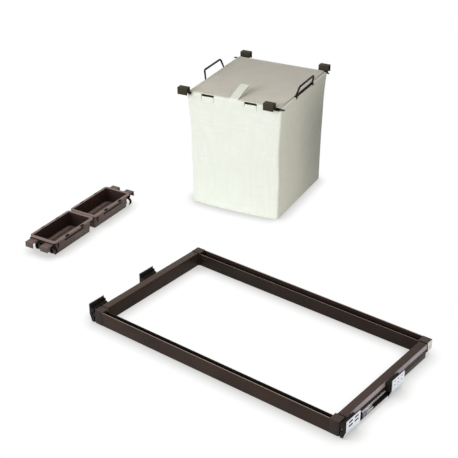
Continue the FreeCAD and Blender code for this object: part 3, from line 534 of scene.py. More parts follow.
def cloth(name, color, pitch, weave, backward):
    """Woven cloth with threads along the basket's axes; backward is the share of tone the painted shade
    leaves at the back.
    """
    fabric = Finish(name, color, 0.88, turn=basket_turn)
    fabric.shader.inputs["Sheen Weight"].default_value = 0.15
    fabric.shader.inputs["Sheen Roughness"].default_value = 0.5
    axes = fabric.add("ShaderNodeSeparateXYZ", {"Vector": fabric.place})
    wobble = fabric.span(fabric.noise(160.0, 2.0), 0, 1, -0.35, 0.35)
    crossed = 0.0
    for axis in "XYZ":
        phase = fabric.math("MULTIPLY_ADD", axes.outputs[axis], 2 * math.pi / pitch, wobble)
        crossed = fabric.math("ADD", crossed, fabric.math("SINE", phase))
    height = fabric.span(crossed, -2, 2, 0, 1)
    upright = fabric.noise(1.0, 2.0, fabric.stretched(420, 420, 9))
    lying = fabric.noise(1.0, 2.0, fabric.stretched(16, 16, 420))
    slub = fabric.math("ADD", upright, lying)
    cloud = fabric.span(fabric.noise(16.0, 4.0), 0.38, 0.62, 0, 0.7)
    thin = toned(color, (0.93, 0.945, 0.93))
    tint = fabric.blend(fabric.span(slub, 0.75, 1.25, 0, 1), thin, toned(color, 1.035))
    tint = fabric.blend(cloud, tint, toned(color, (0.965, 0.985, 0.96)))
    # Painted shade in the weave's hollows.
    tint = fabric.blend(fabric.span(height, 0.2, 0.0, 0, 0.5), tint, toned(color, 0.86))
    # Painted shade: the colour is scaled down towards the basket's back.
    share = fabric.span(axes.outputs["Y"], *back_shade_span, 1.0, backward)
    fading = fabric.add("ShaderNodeVectorMath", {0: tint, "Scale": share}, operation="SCALE")
    fabric.set("Base Color", fading.outputs["Vector"])
    threads = fabric.bump(height, weave, 0.0005)
    fabric.set("Normal", fabric.bump(slub, 0.25, 0.0008, threads))
    return fabric.material


bag_cloth = cloth("bag_cloth_finish", (0.83, 0.862, 0.795), 0.0017, 0.5, 0.88)
lid_cloth = cloth("lid_cloth_finish", (0.722, 0.7, 0.628), 0.0013, 0.35, 0.69)
thread_white = moulded("thread_white", (0.72, 0.74, 0.69), 0.8, grain=0.6, edge_highlight_gain=1.0)
print("cloth made")

# %% [markdown]
# Frame profiles
# The front and rear rails are channels: the outer wall ends in a thin lip, the inner wall
# stands lower, and the groove between them takes the hooks. Each is a block with its
# groove carved out and every edge rounded a little, because a round edge is what draws
# the thin light line along a real profile; the lips get a painted highlight on top of it,
# and the inner walls a painted shade. An outline could be extruded too, but with carving
# each wall's thickness is one named value. Both rails are made at the rear, about the
# frame's middle, and the front one is mirrored.

# %% Handing a piece over
def finished(piece, finishes, body, replaced):
    """Give a piece its finishes, its body and the nodes it stands for."""
    if finishes:
        piece.data.materials.clear()
    for finish in finishes:
        piece.data.materials.append(finish)
    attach(piece, body)
    if replaced:
        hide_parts(*replaced)
    return piece


frame_low, frame_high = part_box("front_rail")
frame_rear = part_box("rear_rail")[1].y
frame_middle = Vector(((frame_low.x + frame_high.x) / 2, (frame_low.y + frame_rear) / 2, 0))


def from_middle(low, high, axis):
    """How near and how far a box lies from the frame's middle, along one axis."""
    return sorted(abs(corner[axis] - frame_middle[axis]) for corner in (low, high))


print("frame middle", [round(value, 4) for value in frame_middle])

# %% Cross rails
edge_round = 0.0006
groove_depth = 0.026
mouth_depth = 0.021
rail_wall = 0.002
rail_lip = 0.0032
inner_drops = {-1: 0.0075, 1: 0.0035}


def rail_channel(name, side):
    """Front (-1) or rear (1) rail."""
    low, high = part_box(name)
    length = high.x - low.x
    inner, outer = from_middle(low, high, 1)
    top = high.z
    above = top + overcut
    grooved = inner + rail_wall
    reach = length + 2 * overcut
    rail = slab(name + "_profile", 0, length, (inner, outer), (low.z, top))
    groove = slab("cut", 0, reach, (grooved, outer - rail_wall), (top - groove_depth, top - rail_wall))
    mouth = slab("cut", 0, reach, (grooved, outer - rail_lip), (top - mouth_depth, above))
    drop = slab("cut", 0, reach, (inner - overcut, grooved + 0.001), (top - inner_drops[side], above))
    carve(rail, groove, mouth, drop)
    soften(rail, edge_round)
    if side < 0:
        mirror(rail, y=-1)
    stand(rail, frame_middle)
    finished(rail, [coat_across, coat_lip_highlight, coat_inside_shade], "frame", [name])
    # Painted light by face: lips, and the rear rail's inner ledge, take the painted highlight; inner
    # walls take the painted shade.
    for face in rail.data.polygons:
        away = abs(face.center.y - frame_middle.y)
        upward = face.normal.z
        lip = upward > 0.3 and away > outer - rail_lip
        ledge = side > 0 and upward > 0.3 and away < grooved
        inside = away < inner + rail_wall * 0.7 and upward < 0.5
        face.material_index = 1 if lip or ledge else 2 if inside else 0
    return rail


front_profile = rail_channel("front_rail", -1)
rear_profile = rail_channel("rear_rail", 1)
for rail in (front_profile, rear_profile):
    print(rail.name, len(rail.data.polygons), "faces")

# %% [markdown]
# Side profiles
# The side rails are closed boxes with a flat top. Their outer face leans in towards the
# top for 13 mm, in a pale satin strip whose tone is a painted reflection, and below it the
# profile steps in to make room for the slide. The lean is too small for a tool of its own:
# one cut across the face and a shift of the top points give it exactly.

# %% Side rails
strip_bright = 0.013
strip_slope = 0.002
strip_height = 0.025
side_leg = 0.004


def lean_strip(piece, outer, top):
    """Cut the outer face at the strip's line and lean it in above that line."""
    slice_planes(piece, 2, [top - strip_bright])
    for vert in piece.data.vertices:
        if near(vert.co.x, outer) and near(vert.co.z, top):
            vert.co.x -= strip_slope


def side_profile(name, side, coat):
    """Right (1) or left (-1) side rail, made at the right."""
    low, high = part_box(name)
    inner, outer = from_middle(low, high, 0)
    reach = (high.y - low.y) / 2
    rail = block(name + "_profile", (inner, -reach, low.z), (outer, reach, high.z))
    lean_strip(rail, outer, high.z)
    pocket = block("cut", (inner + side_leg, -reach - overcut, low.z - overcut),
                   (outer + overcut, reach + overcut, high.z - strip_height))
    carve(rail, pocket)
    soften(rail, edge_round)
    if side < 0:
        mirror(rail, x=-1)
    stand(rail, frame_middle)
    finished(rail, [coat, strip_reflection], "frame", [name])
    # The leaning faces take the painted reflection tone.
    for face in rail.data.polygons:
        leaning = face.normal.x * side > 0.9 and face.normal.z > 0.12
        face.material_index = 1 if leaning else 0
    return rail


side_profile("right_rail", 1, coat_right)
side_profile("left_rail", -1, coat_left)
print("side rails done")

# %% [markdown]
# Corner caps
# Four moulded caps close the corners. They stand 0.6 mm proud of the profiles, with one
# well-rounded outer corner and the same leaning strip as the side rail. Four could be
# modelled one by one. Each is made at the rear right corner and mirrored to its own
# instead, so that they match, and the front ones get a wall that hides the slide.

# %% Caps
cap_round = 0.007
cap_edge = 0.0009
side_low, side_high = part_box("right_rail")
side_width = side_high.x - side_low.x


def corner_cap(name, x_side, y_side):
    """One corner cap, made at the rear right and mirrored to its corner."""
    low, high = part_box(name)
    x0, x1 = from_middle(low, high, 0)
    y0, y1 = from_middle(low, high, 1)
    cap = block(name + "_moulding", (x0, y0, low.z), (x1, y1, high.z))
    round_uprights(cap, cap_round, 5, lambda co: near(co.x, x1) and near(co.y, y1))
    lean_strip(cap, x1, high.z)
    pocket_top = high.z - strip_height
    pocket_end = y1 + overcut if y_side > 0 else y1 - cap_round
    pocket = block("cut", (x1 - side_width + side_leg, y0 - overcut, low.z - overcut),
                   (x1 + overcut, pocket_end, pocket_top))
    carve(cap, pocket)
    soften(cap, cap_edge)
    stand(mirror(cap, x_side, y_side), frame_middle)
    finished(cap, [cap_brown, cap_glint], "frame", [name])
    # The rear caps' upper leaning faces take the painted glint.
    for face in cap.data.polygons:
        leaning = face.normal.x * x_side > 0.5 and -0.3 < face.normal.z < 0.8
        glinting = y_side > 0 and leaning and face.center.z > pocket_top + 0.004
        face.material_index = 1 if glinting else 0
    return cap


for end_side, end in ((-1, "front"), (1, "rear")):
    for hand_side, hand in ((-1, "left"), (1, "right")):
        corner_cap(f"{end}_{hand}_cap", hand_side, end_side)
print("caps done")

# %% [markdown]
# Pieces whose solids are already right
# Slides, brackets, spacers, soft-close parts and rods keep the shapes from the frame. They
# could be modelled again, but their holes, balls and bends already have their real sizes.
# Each gets the finish of its real material, with edges rounded in the shading.

# %% Finishes on the kept nodes
def dress(material, *names):
    """Give kept nodes a finish."""
    for name in names:
        finishes = nodes[name].data.materials
        finishes.clear()
        finishes.append(material)


for hand in ("left_", "right_"):
    dress(slide_steel, hand + "drawer_member", hand + "middle_member", hand + "damper_rod")
    dress(cabinet_steel, hand + "cabinet_member")
    dress(zinc_plate, hand + "front_bracket", hand + "rear_bracket")
    dress(strip_zinc_highlight, hand + "mounting_strip")
    dress(spacer_black, hand + "front_packer", hand + "rear_packer")
    dress(black_plastic, hand + "damper_housing", hand + "latch_carriage", hand + "ball_cages")
    dress(ball_steel, hand + "slide_balls")
dress(screw_steel, "corner_screws", "slide_rivets", "trigger_pins")
dress(wire_coat, "front_rod", "rear_rod", "side_wires")
dress(board_grey, "base_board")
dress(black_plastic, "tray_carrier", "ring_clips", "front_tray_tabs", "rear_tray_tabs")
print("kept nodes dressed")

# %% [markdown]
# Corner seals
# A black rubber frame is squeezed into each joint between a side rail and its cap. The
# real one bulges a little past the joint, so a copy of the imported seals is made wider
# along the rail.

# %% Seals
seal_bulge = 2.2


def own_copy(node_name, name):
    """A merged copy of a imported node, to reshape."""
    copy = nodes[node_name].copy()
    copy.data = copy.data.copy()
    copy.name = name
    bpy.context.scene.collection.objects.link(copy)
    copy.parent = None
    copy.matrix_world = nodes[node_name].matrix_world
    settle_origin(copy)
    return outward(copy)


def corner_seals():
    """A copy of the four seals, each stretched about its own joint."""
    seals = own_copy("corner_seals", "seal_frames")
    verts = seals.data.vertices
    middle = frame_middle.y
    joint = sum(abs(vert.co.y - middle) for vert in verts) / len(verts)
    for vert in verts:
        line = middle + math.copysign(joint, vert.co.y - middle)
        vert.co.y = line + (vert.co.y - line) * seal_bulge
    return finished(seals, [seal_rubber], "frame", ["corner_seals"])


corner_seals()
print("seals done")

# %% [markdown]
# Carrying handles
# The handles are bent wire in a thick dark dip coat, which looks stouter than bare rod. A
# copy of each packed handle is thickened above its feet, where the coat is not worn thin.
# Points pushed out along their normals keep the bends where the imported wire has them.

# %% Handles
handle_coat = 0.0009
handle_foot = 0.012
coat_fade = 0.004


def coated_handle(hand):
    """One handle with its coat."""
    node = hand + "_handle"
    handle = own_copy(node, node + "_wire")
    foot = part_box(node)[0].z + handle_foot
    for vert in handle.data.vertices:
        share = max(0.0, min(1.0, (vert.co.z - foot) / coat_fade))
        vert.co += vert.normal * handle_coat * share
    take(handle)
    bpy.ops.object.shade_smooth_by_angle(angle=math.radians(45))
    return finished(handle, [wire_coat], hand + "_carry_handle", [node])


coated_handle("left")
coated_handle("right")
print("handles done")

# %% [markdown]
# Covers over the screw windows
# From inside, each spacer looks plain: its two screw windows are closed by a thin push-in
# cover in the same black plastic. The spacers' own windows stay open for the screws, so
# the cover is a piece of its own: one thin plate with soft edges for each spacer.

# %% Window covers
packer_starts = (-0.228, -0.018)
cover_length = 0.056
cover_x = (0.4257, 0.4265)
cover_z = (0.0449, 0.0549)


def window_covers(name, side):
    """Both covers of one side, as thin plates in the spacers."""
    x0, x1 = sorted(side * x for x in cover_x)
    plates = []
    for start in packer_starts:
        plate = block("cover", (x0, start, cover_z[0]), (x1, start + cover_length, cover_z[1]))
        plates.append(soften(plate, 0.0003, 2))
    covers = stand(joined(name, plates), frame_middle)
    return finished(covers, [spacer_black], "cabinet_fittings", [])


window_covers("left_window_covers", -1)
window_covers("right_window_covers", 1)
print("covers done")

# %% [markdown]
# Bag
# The bag hangs from its rods, narrows quickly below them and then runs nearly straight
# down to a stiff base. It starts as a block with rounded upright corners. Cuts across it
# give enough points to shape: the walls draw in, each panel sags and wrinkles a little,
# short tension folds run down from the hems, and the front wall bows out at its foot. A
# cloth simulation could do this too, but formulas give the same folds every time, and
# they keep the top exactly on the rods.

# %% The bag's measures
basket_width = 0.336
basket_depth = 0.376
basket_height = 0.4
half_width = basket_width / 2
half_depth = basket_depth / 2
base_scale = 0.945
bag_top = basket_height - 0.01
bag_corner = 0.007
cloth_thickness = 0.0013
bag_rows = 34
bag_low, bag_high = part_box("bag")
basket_place = Vector(((bag_low.x + bag_high.x) / 2, (bag_low.y + bag_high.y) / 2, 0))


def on_basket(piece):
    return stand(piece, basket_place, basket_turn)


print("basket stands at", [round(value, 4) for value in basket_place])

# %% How the cloth hangs
wall_sag = 0.0028
slack_wave = 0.0022
wrinkle = 0.0008
fold_height = 0.0012
fold_reach = 0.07
front_bow = 0.01
corner_dent = (0.0032, 0.25, 0.06)
corner_bulge = (0.002, 0.14, 0.04)


def wall_scale(z):
    """How wide the bag is at a height, as a share of its top."""
    share = max(0.0, min(1.0, z / bag_top))
    return base_scale + (1 - base_scale) * share ** 3.2


def crease(x, y, z):
    """How far a wall stands out at a point, from sag, slack and folds."""
    share = z / bag_top
    across = min(1.0, abs(x) / half_width)
    deep = min(1.0, abs(y) / half_depth)
    sag = wall_sag * (1 - min(across, deep) ** 2) * math.sin(math.pi * min(1.0, share))
    slack = slack_wave * noise.noise(Vector((x * 9, y * 9, z * 5)))
    slack += wrinkle * noise.noise(Vector((x * 26, y * 26, z * 10)))
    along = x if deep > across else y
    fade = math.exp(-(bag_top - z) / fold_reach)
    folds = fold_height * fade * math.sin(along * 70 + 2.2 * share)
    held = min(1.0, z / 0.02) * min(1.0, (bag_top - z) / 0.012)
    return (slack - sag + folds) * held


def swell(z, height, middle, reach):
    """A soft swelling about one height."""
    return height * math.exp(-((z - middle) / reach) ** 2)


def hang(co):
    """Move one point of the plain bag to where the cloth hangs."""
    x, y, z = co
    across = abs(x) / half_width
    deep = abs(y) / half_depth
    out = crease(x, y, z) if z > 0.004 else 0.0
    scale = wall_scale(z)
    co.x = x * scale + (math.copysign(out, x) if across > deep - 0.02 else 0)
    co.y = y * scale + (math.copysign(out, y) if deep > across - 0.02 else 0)
    if y < 0:
        co.y -= front_bow * deep ** 4 * (1 - across ** 2) * (1 - z / bag_top) ** 0.8
    if x > 0 > y:
        co.x -= (across * deep) ** 6 * (swell(z, *corner_dent) - swell(z, *corner_bulge))


print("cloth hangs to", round(base_scale, 3), "of its top")

# %% Bag shell
def bag_shell():
    """The open bag with its walls shaped and thickened."""
    bag = block("bag_shell", (-half_width, -half_depth, 0), (half_width, half_depth, bag_top))
    round_uprights(bag, bag_corner, 4)
    pick(bag, lambda face: face.normal.z > 0.9)
    bpy.ops.mesh.delete(type="FACE")
    done(bag)
    pick(bag, lambda edge: all(near(v.co.z, 0) for v in edge.verts), "EDGE")
    bpy.ops.mesh.bevel(offset=0.003, segments=2, affect="EDGES")
    done(bag)
    last_row = bag_top - 0.002
    slice_planes(bag, 2, spread(0.004, last_row, bag_rows) + [last_row])
    slice_planes(bag, 0, spread(-half_width, half_width, 28))
    slice_planes(bag, 1, spread(-half_depth, half_depth, 32))
    for vert in bag.data.vertices:
        hang(vert.co)
    outward(bag)
    return apply_modifier(bag, "SOLIDIFY", thickness=cloth_thickness, offset=-1.0)


bag = bag_shell()
print("bag", len(bag.data.polygons), "faces")

# %% [markdown]
# Slits beside the bare rod
# On the front the hem is cut away twice, so that a hook can be clipped on there. The cloth
# has a short slit at each end of such a gap, and one more at the front right hook. Thin
# wedges carve them out of the front wall, which leaves the wall's thickness in sight.

# %% Slits
notch_width = 0.044
notch_middles = (-0.094, 0.06)
slit_depth = 0.015
slit_width = 0.0028
slit_foot = bag_top - slit_depth


def wedge(x):
    """A thin wedge through the front wall, wide at the top and closed below."""
    cutter = slab("wedge", x, slit_width, (-half_depth - 0.02, -half_depth + 0.02),
                  (slit_foot, bag_top + overcut))
    for vert in cutter.data.vertices:
        if vert.co.z < bag_top:
            vert.co.x = x + (vert.co.x - x) * 0.1
    return cutter


notch_ends = [middle + end * notch_width / 2 for middle in notch_middles for end in (-1, 1)]
slits = notch_ends + [half_width - 0.012]
for slit in slits:
    carve(bag, wedge(slit))
take(bag)
bpy.ops.object.shade_smooth_by_angle(angle=math.radians(40))
finished(on_basket(bag), [bag_cloth], "basket", ["bag"])
print("slits", len(slits))

# %% [markdown]
# Hems
# Folded sleeves carry the rods. Each is a soft tube, square below and round over the rod,
# that stands half a millimetre proud of the wall. The sleeves stop at the hooks, at the two
# bare stretches in front and between each handle's feet, where a tongue of the wall
# reaches just under the bare rod. Each stretch is a bevelled block, because a sewn hem is
# flat below and only its top takes the rod's round.

# %% Hem tubes
hem_size = 0.01
hem_drop = 0.004
hem_proud = 0.0005
hem_round = 0.0042
hem_step = 0.012
rod_offset = hem_size / 2
side_hem_sink = 0.0014
front_hem_sink = 0.0002


def hem_piece(start, end, along_x, side):
    """One stretch of sleeve along an edge of the basket's top."""
    length = end - start
    middle = (start + end) / 2
    half = hem_size / 2 + hem_proud
    hem = slab("hem", 0, length, (-half, half), (-hem_size - hem_drop, 0.0003))
    pick(hem, lambda edge: all(v.co.z > -0.001 for v in edge.verts)
         and near(edge.verts[0].co.y, edge.verts[1].co.y), "EDGE")
    bpy.ops.mesh.bevel(offset=hem_round, segments=5, affect="EDGES")
    done(hem)
    slice_planes(hem, 0, spread(-length / 2, length / 2, max(2, int(length / hem_step))))
    for vert in hem.data.vertices:
        ripple = noise.noise(Vector(((vert.co.x + middle) * 40, side * 3.0, vert.co.z * 60)))
        vert.co.y += 0.0004 * ripple
        vert.co.z += 0.0003 * ripple
        if vert.co.z > -0.001:
            vert.co.z -= front_hem_sink if along_x else side_hem_sink
    if along_x:
        stand(hem, (middle, side * (half_depth - rod_offset), basket_height))
    else:
        stand(hem, (side * (half_width - rod_offset), middle, basket_height), math.pi / 2)
    return soften(hem, 0.0005, 2)


print("sleeves are", hem_size + hem_drop, "m high")

# %% Tongues under the bare rod
handle_span = 0.134
eye_reach = 0.0076
notch_rise = 0.0038
side_rise = 0.0056
tongue_in = 0.0012
tongue_out = 0.0004
tongue_ripple = 0.0004


def rippled(tongue, axis, middle, waves):
    """Give a tongue's upper edge a slight wave, and round its edges."""
    for vert in tongue.data.vertices:
        if vert.co.z > bag_top:
            vert.co.z += tongue_ripple * math.sin((vert.co[axis] - middle) * waves)
    return soften(tongue, 0.0003, 2)


def notch_tongue(middle):
    """The front wall between two slits."""
    half = notch_width / 2
    tongue = slab("tongue", middle, notch_width, (-half_depth - tongue_out, -half_depth + tongue_in),
                  (slit_foot, bag_top + notch_rise))
    for vert in tongue.data.vertices:
        if vert.co.z > bag_top:
            vert.co.x -= math.copysign(slit_width * 0.8, vert.co.x - middle)
    slice_planes(tongue, 0, spread(middle - half, middle + half, 10))
    return rippled(tongue, 0, middle, 190)


def side_tongue(side):
    """The side wall between a handle's feet."""
    half = handle_span / 2 - eye_reach
    x0, x1 = sorted((side * (half_width + tongue_out), side * (half_width - tongue_in)))
    tongue = block("tongue", (x0, -half, bag_top - 0.004), (x1, half, bag_top + side_rise))
    slice_planes(tongue, 1, spread(-half, half, 12))
    return rippled(tongue, 1, 0, 150)


print("tongues rise", notch_rise, "and", side_rise, "m")

# %% Where the sleeves run
hook_length = 0.036
hook_gap = 0.004
hook_offsets = {
    "front_left": -0.007, "front_right": -0.037, "rear_left": 0.025, "rear_right": -0.015}


def hook_x(name):
    """The middle of a hook along its rod."""
    return (-half_width if name.endswith("left") else half_width) + hook_offsets[name]


def between_hooks(end):
    """The stretch of a rod from one hook to the other."""
    clear = hook_length / 2 + hook_gap
    return hook_x(end + "_left") + clear, hook_x(end + "_right") - clear


def stretches(stops):
    """Pairs of start and end from a row of stops."""
    return list(zip(stops[::2], stops[1::2]))


front_start, front_end = between_hooks("front")
front_hems = stretches([front_start, *notch_ends, front_end])
rear_hem = between_hooks("rear")
side_end = half_depth - rod_offset - 0.003
side_eye = handle_span / 2 + eye_reach
side_hems = stretches([-side_end, -side_eye, side_eye, side_end])
hems = [hem_piece(*run, True, -1) for run in front_hems]
hems.append(hem_piece(*rear_hem, True, 1))
hems += [notch_tongue(middle) for middle in notch_middles]
for side in (-1, 1):
    hems += [hem_piece(*run, False, side) for run in side_hems]
    hems.append(side_tongue(side))
hem_cloth = on_basket(joined("hem_cloth", hems))
finished(hem_cloth, [bag_cloth], "basket", ["rod_sleeves"])
print("sleeves and tongues", len(hems))

# %% [markdown]
# Lid
# The lid is a stiff sheet in plain cloth with a turned-in border. It lies on the hems, so
# its edges are held level while the middle dips a little over two millimetres. A block is
# inset for the border, cut into strips, and the middle is lowered by a formula, since a
# flat sheet would look like a board of plastic.

# %% Lid panel
lid_rest = basket_height + 0.0004
lid_thickness = 0.0026
lid_half_x = half_width - 0.007
lid_front = -half_depth + 0.002
lid_back = half_depth - 0.008
lid_corner = 0.006
lid_sag = 0.0026
lid_warp = 0.0006
border_width = 0.007
border_step = 0.0005


def lid_dip(x, y):
    """How far the lid's middle hangs below its edges, with a little warp."""
    u = x / lid_half_x
    v = (2 * y - lid_front - lid_back) / (lid_back - lid_front)
    dip = lid_sag * max(0.0, 1 - u * u) * max(0.0, 1 - v * v)
    warp = lid_warp * noise.noise(Vector((x * 11, y * 11, 3.0)))
    return dip - warp * max(0.0, 1 - u ** 4) * max(0.0, 1 - v ** 4)


def lid_panel():
    """The lid with its border and a dipped middle."""
    lid = slab("lid_cloth", 0, 2 * lid_half_x, (lid_front, lid_back),
               (lid_rest, lid_rest + lid_thickness))
    round_uprights(lid, lid_corner, 4)
    pick(lid, lambda face: face.normal.z > 0.9)
    bpy.ops.mesh.inset(thickness=border_width, depth=0)
    bpy.ops.mesh.inset(thickness=border_step, depth=-border_step)
    done(lid)
    slice_planes(lid, 0, spread(-lid_half_x, lid_half_x, 24))
    slice_planes(lid, 1, spread(lid_front, lid_back, 26))
    for vert in lid.data.vertices:
        vert.co.z -= lid_dip(vert.co.x, vert.co.y)
    return soften(lid, 0.0006, 2, 40.0)


lid = finished(on_basket(lid_panel()), [lid_cloth], "lid", ["lid_panel"])
print("lid", len(lid.data.polygons), "faces")

# %% [markdown]
# Pull strap
# A flat strap is sewn to the lid's front edge. It rises backwards as a ramp, folds over a
# tight crest and comes back down to the lid. A curve could be given a width, but one
# strip of faces, extruded along that path and then thickened, keeps its edges square.

# %% Strap
tab_width = 0.03
tab_thickness = 0.0012
strap_front = lid_front - 0.0005
strap_base = lid_rest + lid_thickness
strap_start = Vector((strap_front, strap_base))
strap_crest = strap_start + Vector((0.0815, 0.0205))
strap_foot = strap_start + Vector((0.0685, 0.0022))
ramp_bow = 0.0018
fold_radius = Vector((0.0012, 0.0014))
fold_offset = Vector((0.0004, -0.0006))


def bowed(start, end, shares, bow):
    """Points between two ends, bowed out in the middle."""
    return [start.lerp(end, share) + bow * math.sin(math.pi * share) for share in shares]


def steps_from(point, *steps):
    """Points at given steps from one point."""
    return [point + Vector(step) for step in steps]


def strap_path():
    """Points of the strap in the basket's Y and Z, with a round fold at the crest."""
    path = steps_from(strap_start, (-0.001, -0.006), (-0.0008, -0.001), (0.001, 0.0012))
    ramp = [0.08 + 0.12 * i for i in range(8)]
    path += bowed(strap_start, strap_crest, ramp, Vector((0, ramp_bow)))
    for turn in range(70, -91, -40):
        around = Vector((math.cos(math.radians(turn)), math.sin(math.radians(turn))))
        path.append(strap_crest + fold_radius * around + fold_offset)
    path += bowed(strap_crest, strap_foot, (0.25, 0.5, 0.75), Vector((0.0012, 0)))
    path += steps_from(strap_foot, (0, 0), (-0.001, -0.0009), (-0.0025, -0.0013))
    path += steps_from(strap_foot, *((-0.0025 - 0.0085 * i, -0.0013) for i in range(1, 7)))
    return path


def strap():
    """The sewn strap as one extruded strip."""
    path = strap_path()
    clear_selection()
    bpy.ops.mesh.primitive_plane_add(size=1.0)
    strip = bpy.context.object
    strip.name = "pull_strap"
    first, second = path[0], path[1]
    for vert in strip.data.vertices:
        point = second if vert.co.y > 0 else first
        vert.co = Vector((math.copysign(tab_width / 2, vert.co.x), point.x, point.y))
    pick(strip, lambda edge: all((v.co.yz - second).length < 1e-6 for v in edge.verts), "EDGE")
    for before, after in zip(path[1:], path[2:]):
        step = after - before
        bpy.ops.mesh.extrude_region_move(TRANSFORM_OT_translate={"value": (0, step.x, step.y)})
    done(strip)
    slice_planes(strip, 0, spread(-tab_width / 2, tab_width / 2, 6))
    apply_modifier(strip, "SOLIDIFY", thickness=tab_thickness, offset=0.0)
    outward(strip)
    soften(strip, 0.0003, 2, 50.0)
    apply_modifier(strip, "SUBSURF", levels=1, render_levels=1)
    take(strip)
    bpy.ops.object.shade_smooth()
    return strip


pull_strap = finished(on_basket(strap()), [bag_cloth], "lid", ["pull_tab"])
print("strap", len(pull_strap.data.polygons), "faces")

# %% [markdown]
# Stitches
# Rows of small stitches hold the lid's border and the hems. One stitch is a short
# six-sided bar, since thread drawn only in the finish would not catch the light. It is
# repeated along each line and the bars are joined, so that all seams of one part are one
# object.

# %% Stitch rows
stitch_length = 0.0032
stitch_pitch = 0.0052
stitch_radius = 0.00042


def stitch_row(start, end, lift=None):
    """Stitches from one point to another, lifted with the cloth if it isn't flat."""
    start = Vector(start)
    run = Vector(end) - start
    half = run.normalized() * stitch_length / 2
    count = max(1, int(run.length / stitch_pitch))
    made = []
    for i in range(count):
        middle = start + run * ((i + 0.5) / count)
        if lift is not None:
            middle.z += lift(middle.x, middle.y)
        made.append(rod("stitch", middle - half, middle + half, stitch_radius, 6))
    return made


def stitches(name, rows, body):
    """One object from several rows of stitches."""
    bars = [bar for row in rows for bar in row]
    return finished(on_basket(joined(name, bars)), [thread_white], body, [])


print("stitch every", stitch_pitch, "m")

# %% Seams
seam_inset = border_width * 0.72
seam_top = strap_base + 0.0001
seam_x = lid_half_x - seam_inset
seam_front = lid_front + seam_inset
seam_back = lid_back - seam_inset
lid_corners = [(-seam_x, seam_front, seam_top), (seam_x, seam_front, seam_top),
               (seam_x, seam_back, seam_top), (-seam_x, seam_back, seam_top)]
lid_rows = [stitch_row(start, end, lambda x, y: -lid_dip(x, y))
            for start, end in zip(lid_corners, lid_corners[1:] + lid_corners[:1])]
stitches("lid_stitches", lid_rows, "lid")
seam_z = basket_height - hem_size - hem_drop + 0.0022
seam_y = half_depth + 0.0006
side_seam_x = half_width + 0.0006
hem_rows = [stitch_row((start, -seam_y, seam_z), (end, -seam_y, seam_z)) for start, end in front_hems]
hem_rows.append(stitch_row((rear_hem[0], seam_y, seam_z), (rear_hem[1], seam_y, seam_z)))
for x in (-side_seam_x, side_seam_x):
    hem_rows += [stitch_row((x, start, seam_z), (x, end, seam_z)) for start, end in side_hems]
stitches("hem_stitches", hem_rows, "basket")
print("seams", len(lid_rows), "on the lid and", len(hem_rows), "on the hems")

# %% [markdown]
# Basket hooks
# Each hook is a downward channel that drops over the wall of the rail, with a small barrel
# that snaps on the rod. It could be drawn as one outline and extruded, but the channel is
# wider than the barrel, so it is a block with its channel carved out and the barrel, with
# its neck, beside it. The rear ones are made in front and mirrored.

# %% Hooks
hook_wall = 0.003
hook_rise = 0.018
hook_lip_drop = 0.024
leg_inner = 0.0047
lip_inner = 0.0235
rod_radius = 0.0025
barrel_radius = 0.0047
barrel_length = 0.01
neck_half = 0.0022
mouth_half = 0.0017
rib_width = 0.002
rod_y = half_depth - rod_offset
rod_z = basket_height - rod_offset
hook_top = basket_height + hook_rise


def rod_clip(x, leg_y):
    """The barrel that snaps on the rod, with its neck from the leg and its open mouth."""
    def bar(length, radius):
        return rod("bar", (x - length / 2, -rod_y, rod_z), (x + length / 2, -rod_y, rod_z), radius)

    barrel = bar(barrel_length, barrel_radius)
    neck = slab("neck", x, barrel_length, (leg_y - hook_wall / 2, -rod_y),
                (rod_z - neck_half, rod_z + neck_half))
    mouth = slab("cut", x, 2 * barrel_length, (-rod_y - mouth_half, -rod_y + mouth_half),
                 (rod_z - overcut, rod_z))
    add_on(barrel, neck)
    carve(barrel, bar(2 * barrel_length, rod_radius + 0.0001), mouth)
    return soften(barrel, 0.0004, 2, 50.0)


def rail_hook(name):
    """One hook on its rod."""
    x = hook_x(name)
    low = hook_top - hook_lip_drop
    y_in = -rod_y - leg_inner
    y_out = -rod_y - lip_inner - hook_wall
    hook = slab("hook", x, hook_length, (y_out, y_in), (low, hook_top))
    carve(hook, slab("cut", x, 2 * hook_length, (y_out + hook_wall, y_in - hook_wall),
                     (low - overcut, hook_top - hook_wall)))
    soften(hook, 0.0011, 3)
    rib = slab("rib", x, rib_width, (y_out + hook_wall / 2, y_in - hook_wall / 2),
               (hook_top - 0.006, hook_top - 0.001))
    hook = joined(name + "_hook_moulding", [hook, rod_clip(x, y_in), soften(rib, 0.0003, 2)])
    if name.startswith("rear"):
        mirror(hook, y=-1)
    return finished(on_basket(hook), [hook_brown], "basket", [name + "_hook"])


for hook_name in hook_offsets:
    rail_hook(hook_name)
print("hooks", len(hook_offsets))

# %% [markdown]
# Trays
# Each tray is one moulding: a flat rim with a short turned-down lip, a basin with drafted
# walls and a stepped, dotted floor, and two slotted skirts. The rim's plate is inset and
# the middle extruded down in stages, which makes the basin's inside and outside at once
# when the sheet is thickened. Carving the basin from a block would need a second, larger
# draft for the outside.

# %% Tray sheet
tray_turn = math.radians(7.3)
tray_width = 0.104
tray_length = 0.2
tray_depth = 0.05
tray_wall = 0.002
tray_rim = 0.009
tray_lip = 0.005
tray_taper = 0.004
tray_corner = 0.012
tray_pitch = 0.204
tray_stages = 3
basin_x = tray_width / 2 - tray_rim
basin_y = tray_length / 2 - tray_rim
set_low, set_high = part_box("tray_carrier")
tray_place = Vector(((set_low.x + set_high.x) / 2, (set_low.y + set_high.y) / 2, 0))


def on_tray_set(piece):
    return stand(piece, tray_place, tray_turn)


